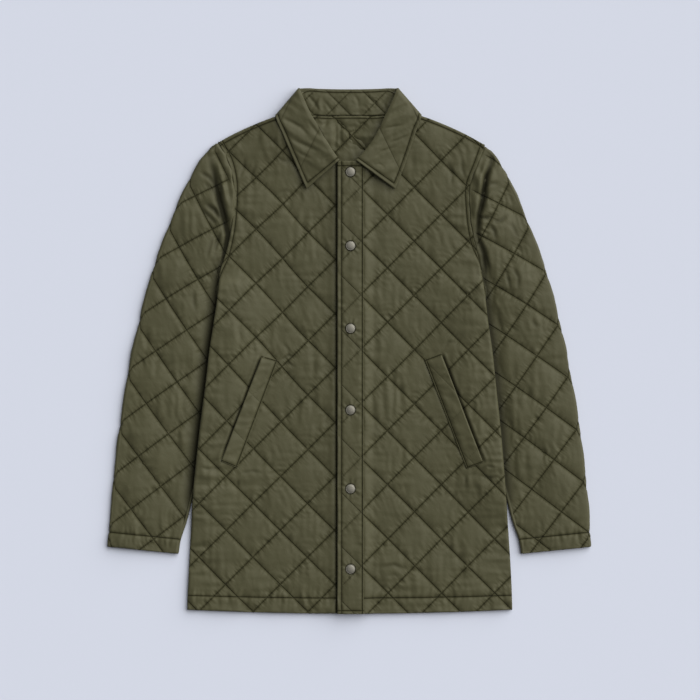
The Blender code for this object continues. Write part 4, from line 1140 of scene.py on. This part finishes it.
def metal(name, colour, roughness):
    """Antique plated metal: satin, with faint tarnish that roughens it in patches."""
    made = bpy.data.materials.new(name)
    made.use_nodes = True
    tree = made.node_tree
    shader = tree.nodes["Principled BSDF"]
    place = node(tree, "ShaderNodeTexCoord").outputs["Object"]
    settings = {"Vector": place, "Scale": 420.0, "Detail": 3.0}
    patches = node(tree, "ShaderNodeTexNoise", (), settings).outputs[0]
    scale = {0: linear(colour)[:3], "Scale": sums(tree, "MULTIPLY_ADD", patches, 0.30, 0.85)}
    tint = node(tree, "ShaderNodeVectorMath", {"operation": "SCALE"}, scale).outputs[0]
    rough = sums(tree, "MULTIPLY_ADD", patches, 0.2, roughness - 0.1)
    tree.links.new(tint, shader.inputs["Base Color"])
    tree.links.new(rough, shader.inputs["Roughness"])
    shader.inputs["Metallic"].default_value = 1.0
    return made


def round_snap(snap_y, radius, turn, z):
    return Vector((SNAP_X + radius * np.cos(turn), snap_y + radius * np.sin(turn), z))


bpy.context.view_layer.update()
placket_tree = BVHTree.FromObject(placket, bpy.context.evaluated_depsgraph_get())
snap_bm = bmesh.new()
for snap_y in SNAP_YS:
    # The cap sits on the cloth, at its mean height round the cap.
    above = [round_snap(snap_y, SEAT_RADIUS, turn, 1.0) for turn in np.arange(0, 6.2, 0.5)]
    around = [placket_tree.ray_cast(spot, Vector((0, 0, -1)))[0].z for spot in above]
    seat = float(np.mean(around)) - SNAP_SINK
    rings = []
    for radius, height in SNAP_PROFILE:
        turns = np.linspace(0, 2 * pi, SNAP_SIDES, endpoint=False) if radius else [0.0]
        spots = [round_snap(snap_y, radius / 1000, turn, seat + height / 1000) for turn in turns]
        rings.append([snap_bm.verts.new(spot) for spot in spots])
    for near, far in zip(rings, rings[1:]):
        for i in range(SNAP_SIDES):
            corners = [near[i % len(near)], near[(i + 1) % len(near)]]
            corners += [far[(i + 1) % len(far)], far[i % len(far)]]
            snap_bm.faces.new(list(dict.fromkeys(corners)))
bmesh.ops.recalc_face_normals(snap_bm, faces=snap_bm.faces)
snap_mesh = bpy.data.meshes.new("snap_caps")
snap_bm.to_mesh(snap_mesh)
snap_bm.free()
snap_mesh.shade_smooth()
snap_mesh.set_sharp_from_angle(angle=radians(50))
snap_mesh.materials.append(metal("antique_nickel", "#817E74", 0.58))
snaps = bpy.data.objects.new("snap_caps", snap_mesh)
bpy.context.scene.collection.objects.link(snaps)
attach(snaps, "root")
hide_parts("snap_1", "snap_2", "snap_3", "snap_4", "snap_5", "snap_6")

# ---------------------------------------------------------------- ground, light and camera
# A pale plain surface, a large soft key from the wearer's upper left, and an even fill.
FLOOR_Z = -0.0002  # a hair below the cloth that rests on it
CAMERA_HEIGHT = 5.0
VIEW_WIDTH = 1.12  # how much of the ground the camera takes in, at the ground's level

floor_mesh = bpy.data.meshes.new("floor")
floor_corners = [(x, y, FLOOR_Z) for x, y in ((-4, -4), (4, -4), (4, 4), (-4, 4))]
floor_mesh.from_pydata(floor_corners, [], [(0, 1, 2, 3)])
floor_finish = bpy.data.materials.new("pale_lavender_backdrop")
floor_finish.use_nodes = True
floor_shader = floor_finish.node_tree.nodes["Principled BSDF"]
floor_shader.inputs["Base Color"].default_value = linear("#CBCFDB")
floor_shader.inputs["Roughness"].default_value = 0.9
floor_mesh.materials.append(floor_finish)
floor = bpy.data.objects.new("floor", floor_mesh)
bpy.context.scene.collection.objects.link(floor)
floor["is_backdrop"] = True

key_data = bpy.data.lights.new("key", "SUN")
key_data.angle = radians(78)
key_data.energy = 4.7
key = bpy.data.objects.new("key", key_data)
key.rotation_euler = Vector((-1.0, -0.85, -0.98)).to_track_quat("-Z", "Y").to_euler()
bpy.context.scene.collection.objects.link(key)

world = bpy.data.worlds.new("studio")
world.use_nodes = True
world.node_tree.nodes["Background"].inputs["Color"].default_value = (0.95, 0.97, 1.0, 1.0)
world.node_tree.nodes["Background"].inputs["Strength"].default_value = 0.20
bpy.context.scene.world = world
bpy.context.scene.view_settings.view_transform = "Standard"

camera_data = bpy.data.cameras.new("camera")
camera_data.sensor_width = 36
camera_data.lens = camera_data.sensor_width * CAMERA_HEIGHT / VIEW_WIDTH
camera = bpy.data.objects.new("camera", camera_data)
camera.location = (0.0010, 0.0011, CAMERA_HEIGHT)
bpy.context.scene.collection.objects.link(camera)
bpy.context.scene.camera = camera

{"cad": cad_bounds, "visual": bounds_now()}
